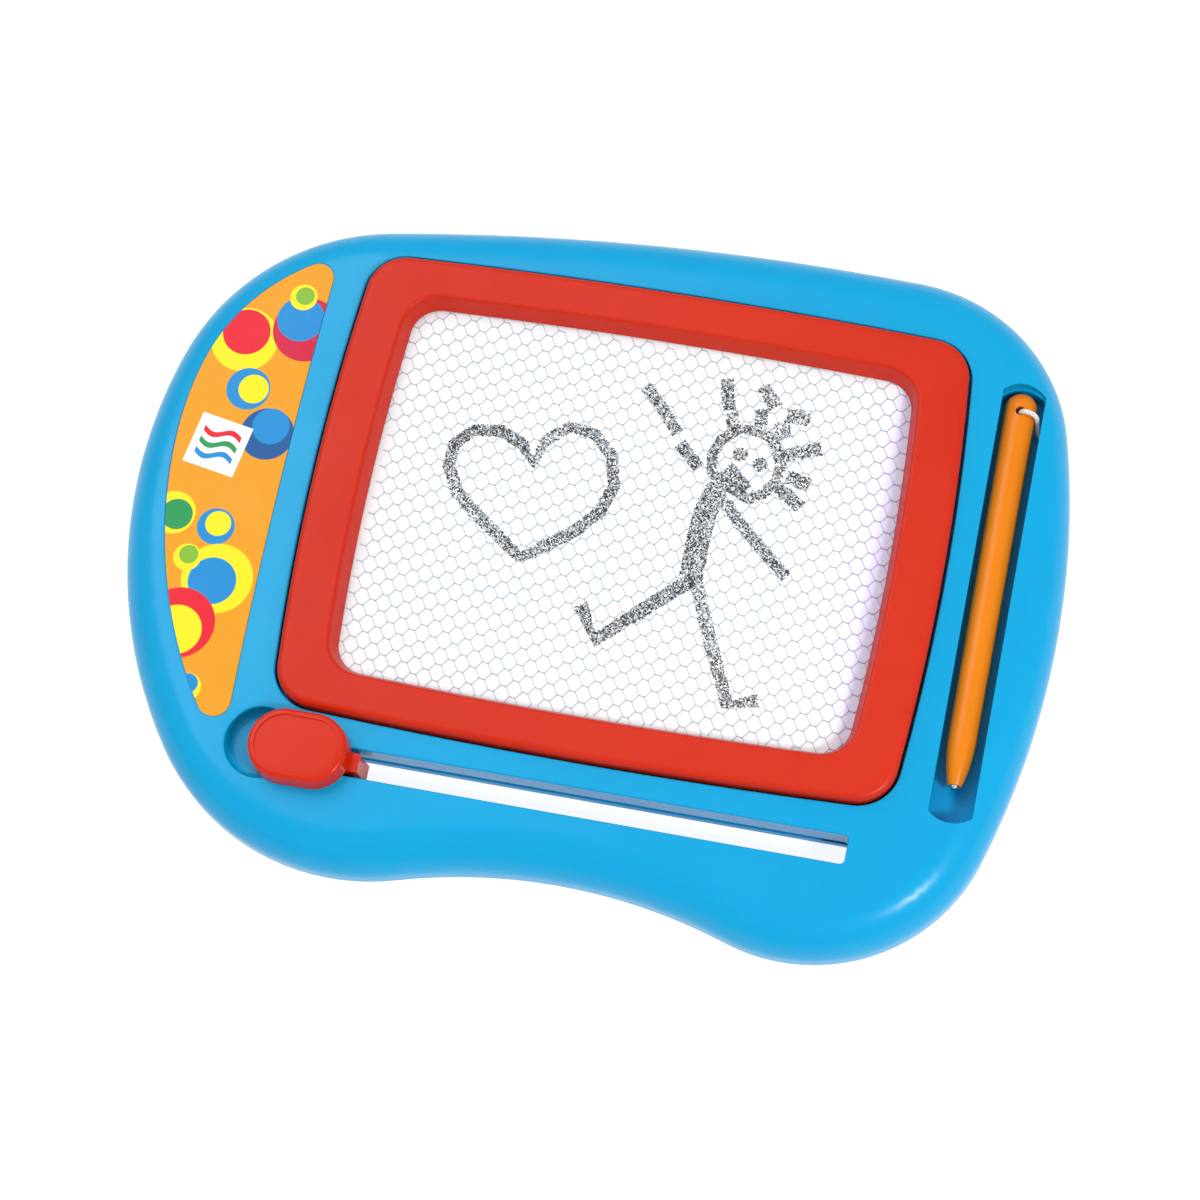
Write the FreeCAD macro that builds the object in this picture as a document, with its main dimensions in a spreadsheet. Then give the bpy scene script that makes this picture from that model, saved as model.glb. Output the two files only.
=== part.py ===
import FreeCAD, Part

import math
import os

import Sketcher
from FreeCAD import Placement, Rotation, Vector

# A child's magnetic drawing board: blue moulded casing, red frame round the screen, a sliding
# eraser, and a pen on a string that lies in a tray. Millimetres, +X along the board's length,
# +Y towards its upper edge, +Z out of the drawing side, z = 0 at the face it rests on.
SIZES = {
    # plan of the casing: four corner circles joined by four long tangent arcs
    "left_low_x": -56.5, "left_low_y": -36.3, "left_low_round": 69.0,
    "right_low_x": 77.7, "right_low_y": -51.9, "right_low_round": 54.0,
    "right_high_x": 80.6, "right_high_y": 51.2, "right_high_round": 54.0,
    "left_high_x": -68.9, "left_high_y": 27.3, "left_high_round": 68.7,
    "bottom_hollow": 166.0, "right_sweep": 248.0, "top_sweep": 780.0, "left_sweep": 143.0,
    # casing section
    "deck_height": 17.0, "wall": 2.4, "roll": 12.0, "foot_round": 0.9, "deck_round": 0.5,
    "ledge_height": 9.9, "flange_height": 8.2, "rib_wall": 1.8, "bite": 1.0, "root": 2.0,
    # red frame
    "frame_x": 10.0, "frame_y": 12.0, "frame_half_x": 94.6, "frame_half_y": 73.5,
    "frame_corner": 12.0, "side_bow": 690.0, "end_bow": 1800.0, "well_gap": 0.8,
    "frame_top": 20.0, "frame_skin": 2.0, "frame_round": 2.0, "crease_run": 2.1,
    "crease_round": 1.2, "crease_taper": -17.9,
    "opening_half_x": 78.3, "opening_half_y": 59.5, "opening_corner": 9.0,
    "frame_boss": 2.5, "frame_pilot": 1.2, "pilot_length": 7.0,
    "frame_screw_side": 88.0, "frame_screw_rise": 45.0,
    "frame_screw_end": 67.6, "frame_screw_run": 58.0,
    # screen, from the back: foam gasket, back sheet, honeycomb core, front sheet
    "screen_lap": 4.0, "ledge_lap": 1.7, "gasket_lap": 2.0, "gasket_thick": 0.6,
    "sheet_thick": 0.4, "core_thick": 2.2,
    # slot for the eraser and the finger dish at its left end
    "slot_left": -84.2, "slot_right": 91.5, "slot_y": -73.75, "slot_half": 4.25,
    "slot_corner": 1.5, "dish_x": -81.9, "dish_y": -72.5, "dish_radius": 10.6,
    "dish_depth": 4.5, "dish_cove": 2.4, "dish_skin": 2.2,
    # pen tray
    "tray_x": 118.7, "tray_half": 6.4, "tray_top": 74.9, "tray_bottom": -60.8,
    "tray_end_round": 9.0, "tray_floor": 6.4, "tray_skin": 1.4, "tray_step": 0.8,
    "tray_step_depth": 4.0,
    # label on the left of the deck
    "label_inset": 9.6, "label_low_x": 19.0, "label_low_y": 18.9, "label_low_sweep": 148.0,
    "label_link": 100.0,
    "label_side_x": -94.1, "label_side_y": 0.0, "label_side_bow": 1800.0,
    "label_low_round": 5.3, "label_high_round": 5.0, "label_depth": 0.4, "label_thick": 0.25,
    "label_margin": 0.3,
    # back cover and its screws
    "cover_bottom": 2.0, "cover_thick": 2.0, "cover_fit": 0.3, "upstand_height": 5.2,
    "cup_radius": 4.2, "cup_height": 5.5, "counterbore_radius": 2.9, "counterbore_depth": 2.0,
    "clear_radius": 1.6, "boss_radius": 3.2, "boss_pilot": 1.4, "boss_pilot_depth": 7.5,
    "rail_y": 67.5, "rail_half": 1.0, "rail_left": -74.0, "rail_right": 94.0,
    "rail_height": 4.5, "rail_round": 0.9,
    "screw_radius": 1.3, "head_radius": 2.6, "head_thick": 1.6, "cover_screw_length": 8.0,
    "frame_screw_radius": 1.1, "frame_head_radius": 2.3, "frame_head_thick": 1.4,
    "frame_screw_length": 7.0, "frame_clear_radius": 1.3,
    # eraser: knob above the deck, arm through the slot, bar and magnet strip under the screen
    "knob_x": -69.6, "knob_y": -73.1, "knob_clear": 0.3, "knob_top": 24.0, "knob_half": 15.1,
    "knob_end": 10.9, "knob_draft": 0.6, "knob_taper": -5.0, "knob_round": 1.2,
    "knob_dish_inset": 1.8, "knob_dish_depth": 0.5, "knob_skin": 2.2, "knob_hollow": 3.4,
    "knob_boss": 2.6,
    "knob_boss_step": 8.0, "knob_pilot": 1.2, "knob_pilot_depth": 4.5,
    "stem_left": -83.0, "stem_right": -51.8, "stem_half": 2.8, "stem_corner": 1.0,
    "shoe_left": -55.0, "shoe_top_x": -52.2, "shoe_foot_x": -50.9, "shoe_half": 2.5,
    "shoe_height": 16.4, "arm_left": -69.5, "arm_right": -54.5, "arm_corner": 1.5,
    "arm_low": 5.5, "arm_high": 7.9, "tongue_y": -81.0, "arm_step_y": -62.0,
    "arm_root_y": -66.0, "arm_end_y": -29.0, "lap_low": 4.4, "lap_high": 6.2,
    "arm_bore_top": 12.0, "arm_bore_radius": 2.6, "arm_screw_low_y": -42.0,
    "arm_screw_step": 4.5, "lap_bore_depth": 1.1, "lap_head_thick": 0.9,
    "lap_screw_radius": 1.0, "lap_screw_length": 1.5, "lap_clear_radius": 1.2,
    "lap_pilot_depth": 1.0,
    "bar_x": -61.0, "bar_half": 7.0, "bar_low_y": -46.5, "bar_high_y": 72.0,
    "bar_top": 7.9, "groove_depth": 0.6, "magnet_half": 4.5, "magnet_gap": 0.1,
    "magnet_low_y": -43.0, "magnet_high_y": 67.5, "magnet_top": 10.0,
    "foot_low_y": 64.0, "foot_height": 4.8, "knob_screw_length": 9.0,
    # pen
    "pen_x": 118.25, "pen_height": 11.45, "pen_end": 73.4, "pen_radius": 4.75,
    "pen_waist": 4.3, "nose_start": -33.8, "nose_end": -48.4, "nose_radius": 2.1,
    "nose_sweep": 49.0, "nose_bore": 1.35, "nose_bore_depth": 14.0, "pen_axis": 0.0,
    "eyelet_y": 66.6, "eyelet_radius": 1.4, "eyelet_sink": 2.0, "eyelet_sink_depth": 3.6,
    "tip_radius": 1.3, "tip_ball": 1.5, "tip_length": 5.0, "magnet_length": 8.5,
    # string
    "string_radius": 0.75, "string_hole": 1.6, "string_hole_y": 61.7, "string_hole_z": 8.2,
    "pen_knot_radius": 1.65, "pen_knot_z": 9.0, "pen_neck_top": 12.5, "stop_knot_radius": 2.1,
}

# Cover screws, by where each one sits on the casing.
COVER_SCREWS = {
    "upper_left": (-94.0, 80.0), "left": (-124.0, 2.0), "lower_left": (-103.5, -76.0),
    "bottom": (0.0, -87.0), "lower_right": (104.0, -85.0), "upper_right": (103.0, 90.0),
    "top": (4.0, 95.4),
}

# The string's route, from the pen's eyelet, over the pen's side, through the tray's wall and
# along the hollow rim to the knot that stops it. Chosen by hand, for a string that lies slack.
STRING_ROUTE = [
    (118.25, 66.6, 12.6), (118.35, 66.5, 17.3), (122.9, 65.7, 17.1), (124.1, 64.6, 12.2),
    (124.15, 62.3, 8.4), (128.7, 61.0, 8.0), (130.8, 55.0, 6.4), (130.2, 46.0, 5.1),
    (132.6, 34.0, 5.0), (133.2, 20.0, 5.0), (130.4, 6.0, 5.0), (130.2, -8.0, 5.0),
    (132.2, -21.0, 5.0), (131.6, -35.0, 5.0), (130.2, -47.0, 5.0), (128.5, -57.5, 5.0),
    (124.2, -67.0, 5.0), (116.5, -73.5, 5.1), (107.5, -75.0, 5.6), (100.0, -72.0, 6.3),
]

DOC = FreeCAD.newDocument("drawing_board")


def fill_sheet():
    """One row per size: its name, its value, and the value's alias."""
    sheet = DOC.addObject("Spreadsheet::Sheet", "Sizes")
    for place, (x, y) in COVER_SCREWS.items():
        SIZES[f"{place}_screw_x"] = x
        SIZES[f"{place}_screw_y"] = y
    for row, (name, size) in enumerate(SIZES.items(), start=1):
        sheet.set(f"A{row}", name)
        sheet.set(f"B{row}", str(size))
        sheet.setAlias(f"B{row}", name)
    DOC.recompute()


def number(terms):
    """Add up named sizes, such as "deck_height -wall"."""
    total = 0.0
    for term in terms.split():
        size = SIZES[term.lstrip("+-")]
        total += -size if term.startswith("-") else size
    return total


def formula(terms):
    """The same sum as an expression on the sheet."""
    parts = []
    for term in terms.split():
        sign = "-" if term.startswith("-") else "+"
        parts.append(f"{sign} Sizes.{term.lstrip('+-')}")
    return " ".join(parts).removeprefix("+ ")


def bind(thing, target, terms):
    thing.setExpression(target, formula(terms))


# ---------------------------------------------------------------- sketches

def origin_plane(body, role):
    for feature in body.Origin.OriginFeatures:
        if feature.Role == role:
            return feature
    raise ValueError(role)


def new_sketch(body, level="", role="XY_Plane"):
    """Sketch on one of the body's own planes, raised to a level."""
    sketch = body.newObject("Sketcher::SketchObject", f"{body.Name}_sketch")
    sketch.AttachmentSupport = [(origin_plane(body, role), "")]
    sketch.MapMode = "FlatFace"
    if level:
        bind(sketch, "AttachmentOffset.Base.z", level)
    return sketch


def measure(sketch, kind, *where, terms):
    """Add a dimension and bind it to the sheet."""
    index = sketch.addConstraint(Sketcher.Constraint(kind, *where, number(terms)))
    bind(sketch, f"Constraints[{index}]", terms)


def pin_point(sketch, index, point, x, y):
    measure(sketch, "DistanceX", -1, 1, index, point, terms=x)
    measure(sketch, "DistanceY", -1, 1, index, point, terms=y)


def add_arc(sketch, centre, radius, begin, finish):
    """Counterclockwise arc between two directions from its centre."""
    first = math.atan2(begin.y, begin.x)
    last = math.atan2(finish.y, finish.x)
    if last <= first:
        last += 2 * math.pi
    circle = Part.Circle(centre, Vector(0, 0, 1), radius)
    return sketch.addGeometry(Part.ArcOfCircle(circle, first, last), False)


def add_line(sketch, start, end):
    return sketch.addGeometry(Part.LineSegment(start, end), False)


def tangent_arc(first, second, bend):
    """Centre of an arc tangent to two circles, and its outward directions at both contacts.

    A bend is a signed radius: positive bulges out of the loop, negative is hollow.
    """
    first_centre, first_bend = first
    second_centre, second_bend = second
    span = second_centre - first_centre
    first_reach = bend - first_bend
    second_reach = bend - second_bend
    along = (first_reach ** 2 - second_reach ** 2 + span.Length ** 2) / (2 * span.Length)
    across = math.sqrt(first_reach ** 2 - along ** 2)
    ahead = span * (1 / span.Length)
    aside = Vector(-ahead.y, ahead.x, 0)
    for side in (1, -1):
        centre = first_centre + ahead * along + aside * (side * across)
        leave = (first_centre - centre) * (1 / first_reach)
        arrive = (second_centre - centre) * (1 / second_reach)
        if leave.cross(arrive).z * bend > 0:
            return centre, leave, arrive
    raise ValueError("no tangent arc")


def arc_loop(sketch, pinned, links, inset=""):
    """Closed, smooth loop of arcs, counterclockwise.

    Pinned circles (x, y, radius, side) alternate with link arcs (radius, side) that touch the
    circles before and after them. Side is 1 for an arc that bulges out and -1 for a hollow one.
    """
    circles = []
    for x, y, radius, side in pinned:
        circles.append((Vector(number(x), number(y), 0), side * number(radius) - number(inset)))
    middles = []
    for index, (radius, side) in enumerate(links):
        bend = side * number(radius) - number(inset)
        following = circles[(index + 1) % len(circles)]
        middles.append((bend, *tangent_arc(circles[index], following, bend)))
    ends = []
    for index, (x, y, radius, side) in enumerate(pinned):
        centre, bend = circles[index]
        begin = middles[index - 1][3]
        finish = middles[index][2]
        ends.append(bound_arc(sketch, centre, bend, begin, finish, radius, side, inset))
        pin_point(sketch, ends[-1][0], 3, x, y)
        radius, side = links[index]
        bend, centre, begin, finish = middles[index]
        ends.append(bound_arc(sketch, centre, bend, begin, finish, radius, side, inset))
    for index, (arc, _, last) in enumerate(ends):
        following, first, _ = ends[(index + 1) % len(ends)]
        sketch.addConstraint(Sketcher.Constraint("Tangent", arc, last, following, first))


def bound_arc(sketch, centre, bend, begin, finish, radius, side, inset):
    """One arc of a loop with its radius bound; returns its index, first and last point."""
    if bend > 0:
        arc = add_arc(sketch, centre, bend, begin, finish)
        points = (1, 2)
    else:
        arc = add_arc(sketch, centre, -bend, finish * -1, begin * -1)
        points = (2, 1)
    grow = {"+": "-", "-": "+"} if side > 0 else {"+": "+", "-": "-"}
    change = " ".join(grow[term[0] if term[0] in "+-" else "+"] + term.lstrip("+-")
                      for term in inset.split())
    measure(sketch, "Radius", arc, terms=f"{radius} {change}")
    return (arc, *points)


def casing_outline(sketch, inset=""):
    corners = [(f"{name}_x", f"{name}_y", f"{name}_round", 1)
               for name in ("left_low", "right_low", "right_high", "left_high")]
    sweeps = [("bottom_hollow", -1), ("right_sweep", 1), ("top_sweep", 1), ("left_sweep", 1)]
    arc_loop(sketch, corners, sweeps, inset)


def bowed_frame(sketch, half_x, half_y, corner, inset=""):
    """Rounded rectangle about the screen's centre whose four sides bow outwards."""
    sides = [
        (f"frame_x +{half_x} -side_bow", "frame_y", "side_bow", 1),
        ("frame_x", f"frame_y +{half_y} -end_bow", "end_bow", 1),
        (f"frame_x -{half_x} +side_bow", "frame_y", "side_bow", 1),
        ("frame_x", f"frame_y -{half_y} +end_bow", "end_bow", 1),
    ]
    arc_loop(sketch, sides, [(corner, 1)] * 4, inset)


def frame_outline(sketch, inset=""):
    bowed_frame(sketch, "frame_half_x", "frame_half_y", "frame_corner", inset)


def opening_outline(sketch, inset=""):
    bowed_frame(sketch, "opening_half_x", "opening_half_y", "opening_corner", inset)


def label_outline(sketch, inset=""):
    """Leaf shape between the casing's left edge and the red frame."""
    pinned = [
        ("left_high_x", "left_high_y", "left_high_round -label_inset", 1),
        ("label_low_x", "label_low_y", "label_low_sweep", 1),
        ("label_side_x +label_side_bow", "label_side_y", "label_side_bow", -1),
    ]
    links = [("label_link", 1), ("label_low_round", 1), ("label_high_round", 1)]
    arc_loop(sketch, pinned, links, inset)


def rounded_rectangle(sketch, left, right, low, high, corner):
    x0, x1, y0, y1, turn = (number(terms) for terms in (left, right, low, high, corner))
    starts = [(x0 + turn, y0), (x1, y0 + turn), (x1 - turn, y1), (x0, y1 - turn)]
    ends = [(x1 - turn, y0), (x1, y1 - turn), (x0 + turn, y1), (x0, y0 + turn)]
    centres = [(x1 - turn, y0 + turn), (x1 - turn, y1 - turn), (x0 + turn, y1 - turn),
               (x0 + turn, y0 + turn)]
    lines = [add_line(sketch, Vector(*a, 0), Vector(*b, 0)) for a, b in zip(starts, ends)]
    arcs = []
    for side, centre in enumerate(centres):
        begin = Vector(math.sin(side * math.pi / 2), -math.cos(side * math.pi / 2), 0)
        finish = Vector(math.cos(side * math.pi / 2), math.sin(side * math.pi / 2), 0)
        arcs.append(add_arc(sketch, Vector(*centre, 0), turn, begin, finish))
    for side in range(4):
        following = lines[(side + 1) % 4]
        sketch.addConstraint(Sketcher.Constraint("Tangent", lines[side], 2, arcs[side], 1))
        sketch.addConstraint(Sketcher.Constraint("Tangent", arcs[side], 2, following, 1))
        direction = "Vertical" if side % 2 else "Horizontal"
        sketch.addConstraint(Sketcher.Constraint(direction, lines[side]))
        measure(sketch, "Radius", arcs[side], terms=corner)
    measure(sketch, "DistanceX", -1, 1, lines[3], 1, terms=left)
    measure(sketch, "DistanceX", -1, 1, lines[1], 1, terms=right)
    measure(sketch, "DistanceY", -1, 1, lines[0], 1, terms=low)
    measure(sketch, "DistanceY", -1, 1, lines[2], 1, terms=high)


def slot_outline(sketch, grow=""):
    rounded_rectangle(sketch, f"slot_left {flip(grow)}", f"slot_right {grow}",
                      f"slot_y -slot_half {flip(grow)}", f"slot_y +slot_half {grow}",
                      f"slot_corner {grow}")


def flip(terms):
    """Change the sign of every term."""
    return " ".join("+" + term[1:] if term.startswith("-") else "-" + term.lstrip("+")
                    for term in terms.split())


def stadium(sketch, half, end, shrink=""):
    """Two round ends about the knob's centre, joined by straight sides."""
    less = flip(shrink)
    radius = number(f"{end} {less}")
    right = Vector(number(f"knob_x +{half} -{end}"), number("knob_y"), 0)
    left = Vector(number(f"knob_x -{half} +{end}"), number("knob_y"), 0)
    up = Vector(0, radius, 0)
    right_arc = add_arc(sketch, right, radius, up * -1, up)
    top = add_line(sketch, right + up, left + up)
    left_arc = add_arc(sketch, left, radius, up, up * -1)
    bottom = add_line(sketch, left - up, right - up)
    chain = [right_arc, top, left_arc, bottom]
    for index, piece in enumerate(chain):
        following = chain[(index + 1) % 4]
        sketch.addConstraint(Sketcher.Constraint("Tangent", piece, 2, following, 1))
    pin_point(sketch, right_arc, 3, f"knob_x +{half} -{end}", "knob_y")
    pin_point(sketch, left_arc, 3, f"knob_x -{half} +{end}", "knob_y")
    measure(sketch, "Radius", right_arc, terms=f"{end} {less}")


def tray_outline(sketch, grow="", top_drop=""):
    """Straight-sided tray with a shallow arc across each end."""
    left = f"tray_x -tray_half {flip(grow)}"
    right = f"tray_x +tray_half {grow}"
    bend = f"tray_end_round {grow}"
    high = f"tray_top -tray_end_round {flip(top_drop)}"
    low = "tray_bottom +tray_end_round"
    reach = number(f"tray_half {grow}")
    rise = math.sqrt(number(bend) ** 2 - reach ** 2)
    top_centre = Vector(number("tray_x"), number(high), 0)
    low_centre = Vector(number("tray_x"), number(low), 0)
    top = add_arc(sketch, top_centre, number(bend), Vector(reach, rise, 0),
                  Vector(-reach, rise, 0))
    side_left = add_line(sketch, top_centre + Vector(-reach, rise, 0),
                         low_centre - Vector(reach, rise, 0))
    bottom = add_arc(sketch, low_centre, number(bend), Vector(-reach, -rise, 0),
                     Vector(reach, -rise, 0))
    side_right = add_line(sketch, low_centre + Vector(reach, -rise, 0),
                          top_centre + Vector(reach, rise, 0))
    chain = [top, side_left, bottom, side_right]
    for index, piece in enumerate(chain):
        following = chain[(index + 1) % 4]
        sketch.addConstraint(Sketcher.Constraint("Coincident", piece, 2, following, 1))
    pin_point(sketch, top, 3, "tray_x", high)
    pin_point(sketch, bottom, 3, "tray_x", low)
    measure(sketch, "Radius", top, terms=bend)
    measure(sketch, "Radius", bottom, terms=bend)
    measure(sketch, "DistanceX", -1, 1, side_left, 1, terms=left)
    measure(sketch, "DistanceX", -1, 1, side_right, 2, terms=right)
    sketch.addConstraint(Sketcher.Constraint("Vertical", side_left))
    sketch.addConstraint(Sketcher.Constraint("Vertical", side_right))


def discs(sketch, places, radius):
    """A circle at each place, given as two sums of sizes."""
    for x, y in places:
        circle = Part.Circle(Vector(number(x), number(y), 0), Vector(0, 0, 1), number(radius))
        index = sketch.addGeometry(circle, False)
        pin_point(sketch, index, 3, x, y)
        measure(sketch, "Radius", index, terms=radius)


def polygon(sketch, corners):
    points = [Vector(number(x), number(y), 0) for x, y in corners]
    lines = []
    for index, point in enumerate(points):
        lines.append(add_line(sketch, point, points[(index + 1) % len(points)]))
    for index, line in enumerate(lines):
        following = lines[(index + 1) % len(lines)]
        sketch.addConstraint(Sketcher.Constraint("Coincident", line, 2, following, 1))
        pin_point(sketch, line, 1, *corners[index])


# ---------------------------------------------------------------- features

def new_body(label):
    body = DOC.addObject("PartDesign::Body", label)
    body.Label = label
    return body


def pad(body, sketch, height, midplane=False, taper=""):
    feature = body.newObject("PartDesign::Pad", f"{body.Name}_pad")
    feature.Profile = sketch
    bind(feature, "Length", height)
    feature.Midplane = midplane
    if taper:
        bind(feature, "TaperAngle", taper)
    DOC.recompute()
    return feature


def pocket(body, sketch, depth, upward=False, taper=""):
    """Cut from the sketch down, or up, and make sure that something went."""
    before = body.Shape.Volume
    feature = body.newObject("PartDesign::Pocket", f"{body.Name}_pocket")
    feature.Profile = sketch
    bind(feature, "Length", depth)
    feature.Reversed = upward
    if taper:
        bind(feature, "TaperAngle", taper)
    DOC.recompute()
    if feature.Shape.Volume >= before:
        raise ValueError(f"{feature.Name} cuts nothing")
    return feature


def level_edges(shape, level, wanted=None):
    """Names of the edges that lie flat at a height, and pass a test of their bounding box."""
    names = []
    for index, edge in enumerate(shape.Edges, start=1):
        box = edge.BoundBox
        flat = abs(box.ZMin - level) < 1e-4 and abs(box.ZMax - level) < 1e-4
        if flat and (wanted is None or wanted(box)):
            names.append(f"Edge{index}")
    return names


def fillet(body, edges, radius):
    base = body.Tip
    feature = body.newObject("PartDesign::Fillet", f"{body.Name}_fillet")
    feature.Base = (base, edges)
    bind(feature, "Radius", radius)
    DOC.recompute()
    return feature


def prism(label, draw, level, height, *details):
    """Body made of one padded sketch."""
    body = new_body(label)
    sketch = new_sketch(body, level)
    draw(sketch, *details)
    pad(body, sketch, height)
    return body


def boolean(kind, label, base, tools):
    """Part::Cut or Part::Common of a base with several tools, joined first."""
    tool = tools[0]
    if len(tools) > 1:
        tool = DOC.addObject("Part::MultiFuse", f"{label}_tools")
        tool.Shapes = tools
    feature = DOC.addObject(kind, label)
    feature.Base = base
    feature.Tool = tool
    feature.Label = label
    DOC.recompute()
    return feature


# ---------------------------------------------------------------- casing

def screw_places():
    return [(f"{place}_screw_x", f"{place}_screw_y") for place in COVER_SCREWS]


def frame_screw_places():
    """Two screws on each short side of the red frame and three along its top."""
    places = []
    for side in ("+", "-"):
        for rise in ("+", "-"):
            places.append((f"frame_x {side}frame_screw_side", f"frame_y {rise}frame_screw_rise"))
    for run in ("+frame_screw_run", "", "-frame_screw_run"):
        places.append((f"frame_x {run}", "frame_y +frame_screw_end"))
    return places


def filled_casing():
    """The casing's outside, solid: the rolled rim and the small round at its foot."""
    body = new_body("casing_outside")
    sketch = new_sketch(body)
    casing_outline(sketch)
    block = pad(body, sketch, "deck_height")
    rolled = fillet(body, level_edges(block.Shape, number("deck_height")), "roll")
    fillet(body, level_edges(rolled.Shape, 0.0), "foot_round")
    return body


def cavity():
    """What the casing's outer wall encloses, below the deck."""
    body = new_body("casing_inside")
    sketch = new_sketch(body)
    casing_outline(sketch, "wall")
    block = pad(body, sketch, "deck_height -wall")
    fillet(body, level_edges(block.Shape, number("deck_height -wall")), "roll -wall")
    return body


def deck_blocks():
    """Solid blocks under the deck that the well, slot, dish, tray and screws are cut into."""
    under = "deck_height -root"
    blocks = [
        prism("well_block", frame_outline, "flange_height", f"{under} -flange_height",
              "-well_gap -rib_wall"),
        prism("slot_block", slot_outline, "flange_height", f"{under} -flange_height",
              "rib_wall"),
        prism("dish_block", discs, "deck_height -dish_depth -dish_skin",
              "dish_depth +dish_skin -root", [("dish_x", "dish_y")], "dish_radius +rib_wall"),
        prism("tray_block", tray_outline, "tray_floor -tray_skin",
              "deck_height -tray_floor +tray_skin", "tray_skin"),
    ]
    for index, place in enumerate(screw_places(), start=1):
        blocks.append(prism(f"boss_{index}", discs, "cup_height", f"{under} -cup_height",
                            [place], "boss_radius"))
    return blocks


def tray_hollow():
    """Tray with a narrow step round its upper end."""
    body = new_body("tray_hollow")
    deep = new_sketch(body, "tray_floor")
    tray_outline(deep, top_drop="tray_step")
    pad(body, deep, "deck_height -tray_floor +bite")
    shallow = new_sketch(body, "deck_height -tray_step_depth")
    tray_outline(shallow)
    pad(body, shallow, "tray_step_depth +bite")
    return body


def dish_hollow():
    """Round finger dish with a coved floor."""
    body = prism("dish_hollow", discs, "deck_height -dish_depth", "dish_depth +bite",
                 [("dish_x", "dish_y")], "dish_radius")
    floor = level_edges(body.Shape, number("deck_height -dish_depth"))
    fillet(body, floor, "dish_cove")
    return body


def string_passage():
    """Hole through the tray's right wall for the string."""
    hole = DOC.addObject("Part::Cylinder", "string_passage")
    bind(hole, "Radius", "string_hole")
    bind(hole, "Height", "rib_wall +rib_wall +rib_wall")
    hole.Placement = Placement(Vector(0, 0, 0), Rotation(Vector(0, 1, 0), 90))
    bind(hole, "Placement.Base.x", "tray_x +tray_half -rib_wall")
    bind(hole, "Placement.Base.y", "string_hole_y")
    bind(hole, "Placement.Base.z", "string_hole_z")
    return hole


def deck_cutters():
    through = "deck_height -flange_height +bite +bite"
    cutters = [
        prism("well", frame_outline, "ledge_height", "deck_height -ledge_height +bite",
              "-well_gap"),
        prism("ledge_opening", opening_outline, "flange_height -bite", through, "-ledge_lap"),
        prism("slot", slot_outline, "flange_height -bite", through),
        prism("label_recess", label_outline, "deck_height -label_depth", "label_depth +bite"),
        dish_hollow(),
        tray_hollow(),
        string_passage(),
    ]
    for index, place in enumerate(screw_places(), start=1):
        cutters.append(prism(f"boss_hole_{index}", discs, "cup_height -bite",
                             "boss_pilot_depth +bite", [place], "boss_pilot"))
    for index, place in enumerate(frame_screw_places(), start=1):
        cutters.append(prism(f"ledge_hole_{index}", discs, "flange_height -bite",
                             "ledge_height -flange_height +bite +bite", [place],
                             "frame_clear_radius"))
    return cutters


def front_casing():
    outside = filled_casing()
    shell = boolean("Part::Cut", "casing_shell", outside, [cavity()])
    blocks = boolean("Part::Common", "casing_blocks", outside, deck_blocks())
    joined = DOC.addObject("Part::Fuse", "casing_joined")
    joined.Base = shell
    joined.Tool = blocks
    cut = boolean("Part::Cut", "casing_cut", joined, deck_cutters())
    return deck_rounds(cut)


def deck_rounds(cut):
    """Small rounds where the well, slot and dish break the deck."""
    level = number("deck_height")
    names = level_edges(cut.Shape, level, on_deck)
    rounded = DOC.addObject("Part::Fillet", "front_casing")
    rounded.Base = cut
    size = number("deck_round")
    rounded.Edges = [(int(name.removeprefix("Edge")), size, size) for name in names]
    rounded.Label = "front_casing"
    DOC.recompute()
    return rounded


def on_deck(box):
    """Edges of the well, the slot and the dish, but not the label's recess or the tray."""
    return box.XMin > number("label_side_x +knob_round") and box.XMax < number("tray_x -tray_half")


def back_cover():
    body = new_body("back_cover")
    sketch = new_sketch(body, "cover_bottom")
    casing_outline(sketch, "wall +cover_fit")
    pad(body, sketch, "cover_thick")
    upstand = new_sketch(body, "cover_bottom")
    slot_outline(upstand, "rib_wall")
    pad(body, upstand, "upstand_height -cover_bottom")
    cups = new_sketch(body, "cover_bottom")
    discs(cups, screw_places(), "cup_radius")
    pad(body, cups, "cup_height -cover_bottom")
    rail = new_sketch(body, "cover_bottom")
    rounded_rectangle(rail, "rail_left", "rail_right", "rail_y -rail_half", "rail_y +rail_half",
                      "rail_round")
    pad(body, rail, "rail_height -cover_bottom")
    slot = new_sketch(body, "cover_bottom")
    slot_outline(slot)
    pocket(body, slot, "upstand_height", upward=True)
    bores = new_sketch(body, "cover_bottom")
    discs(bores, screw_places(), "counterbore_radius")
    pocket(body, bores, "counterbore_depth", upward=True)
    holes = new_sketch(body, "cover_bottom")
    discs(holes, screw_places(), "clear_radius")
    pocket(body, holes, "cup_height", upward=True)
    return body


# ---------------------------------------------------------------- red frame and screen

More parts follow.
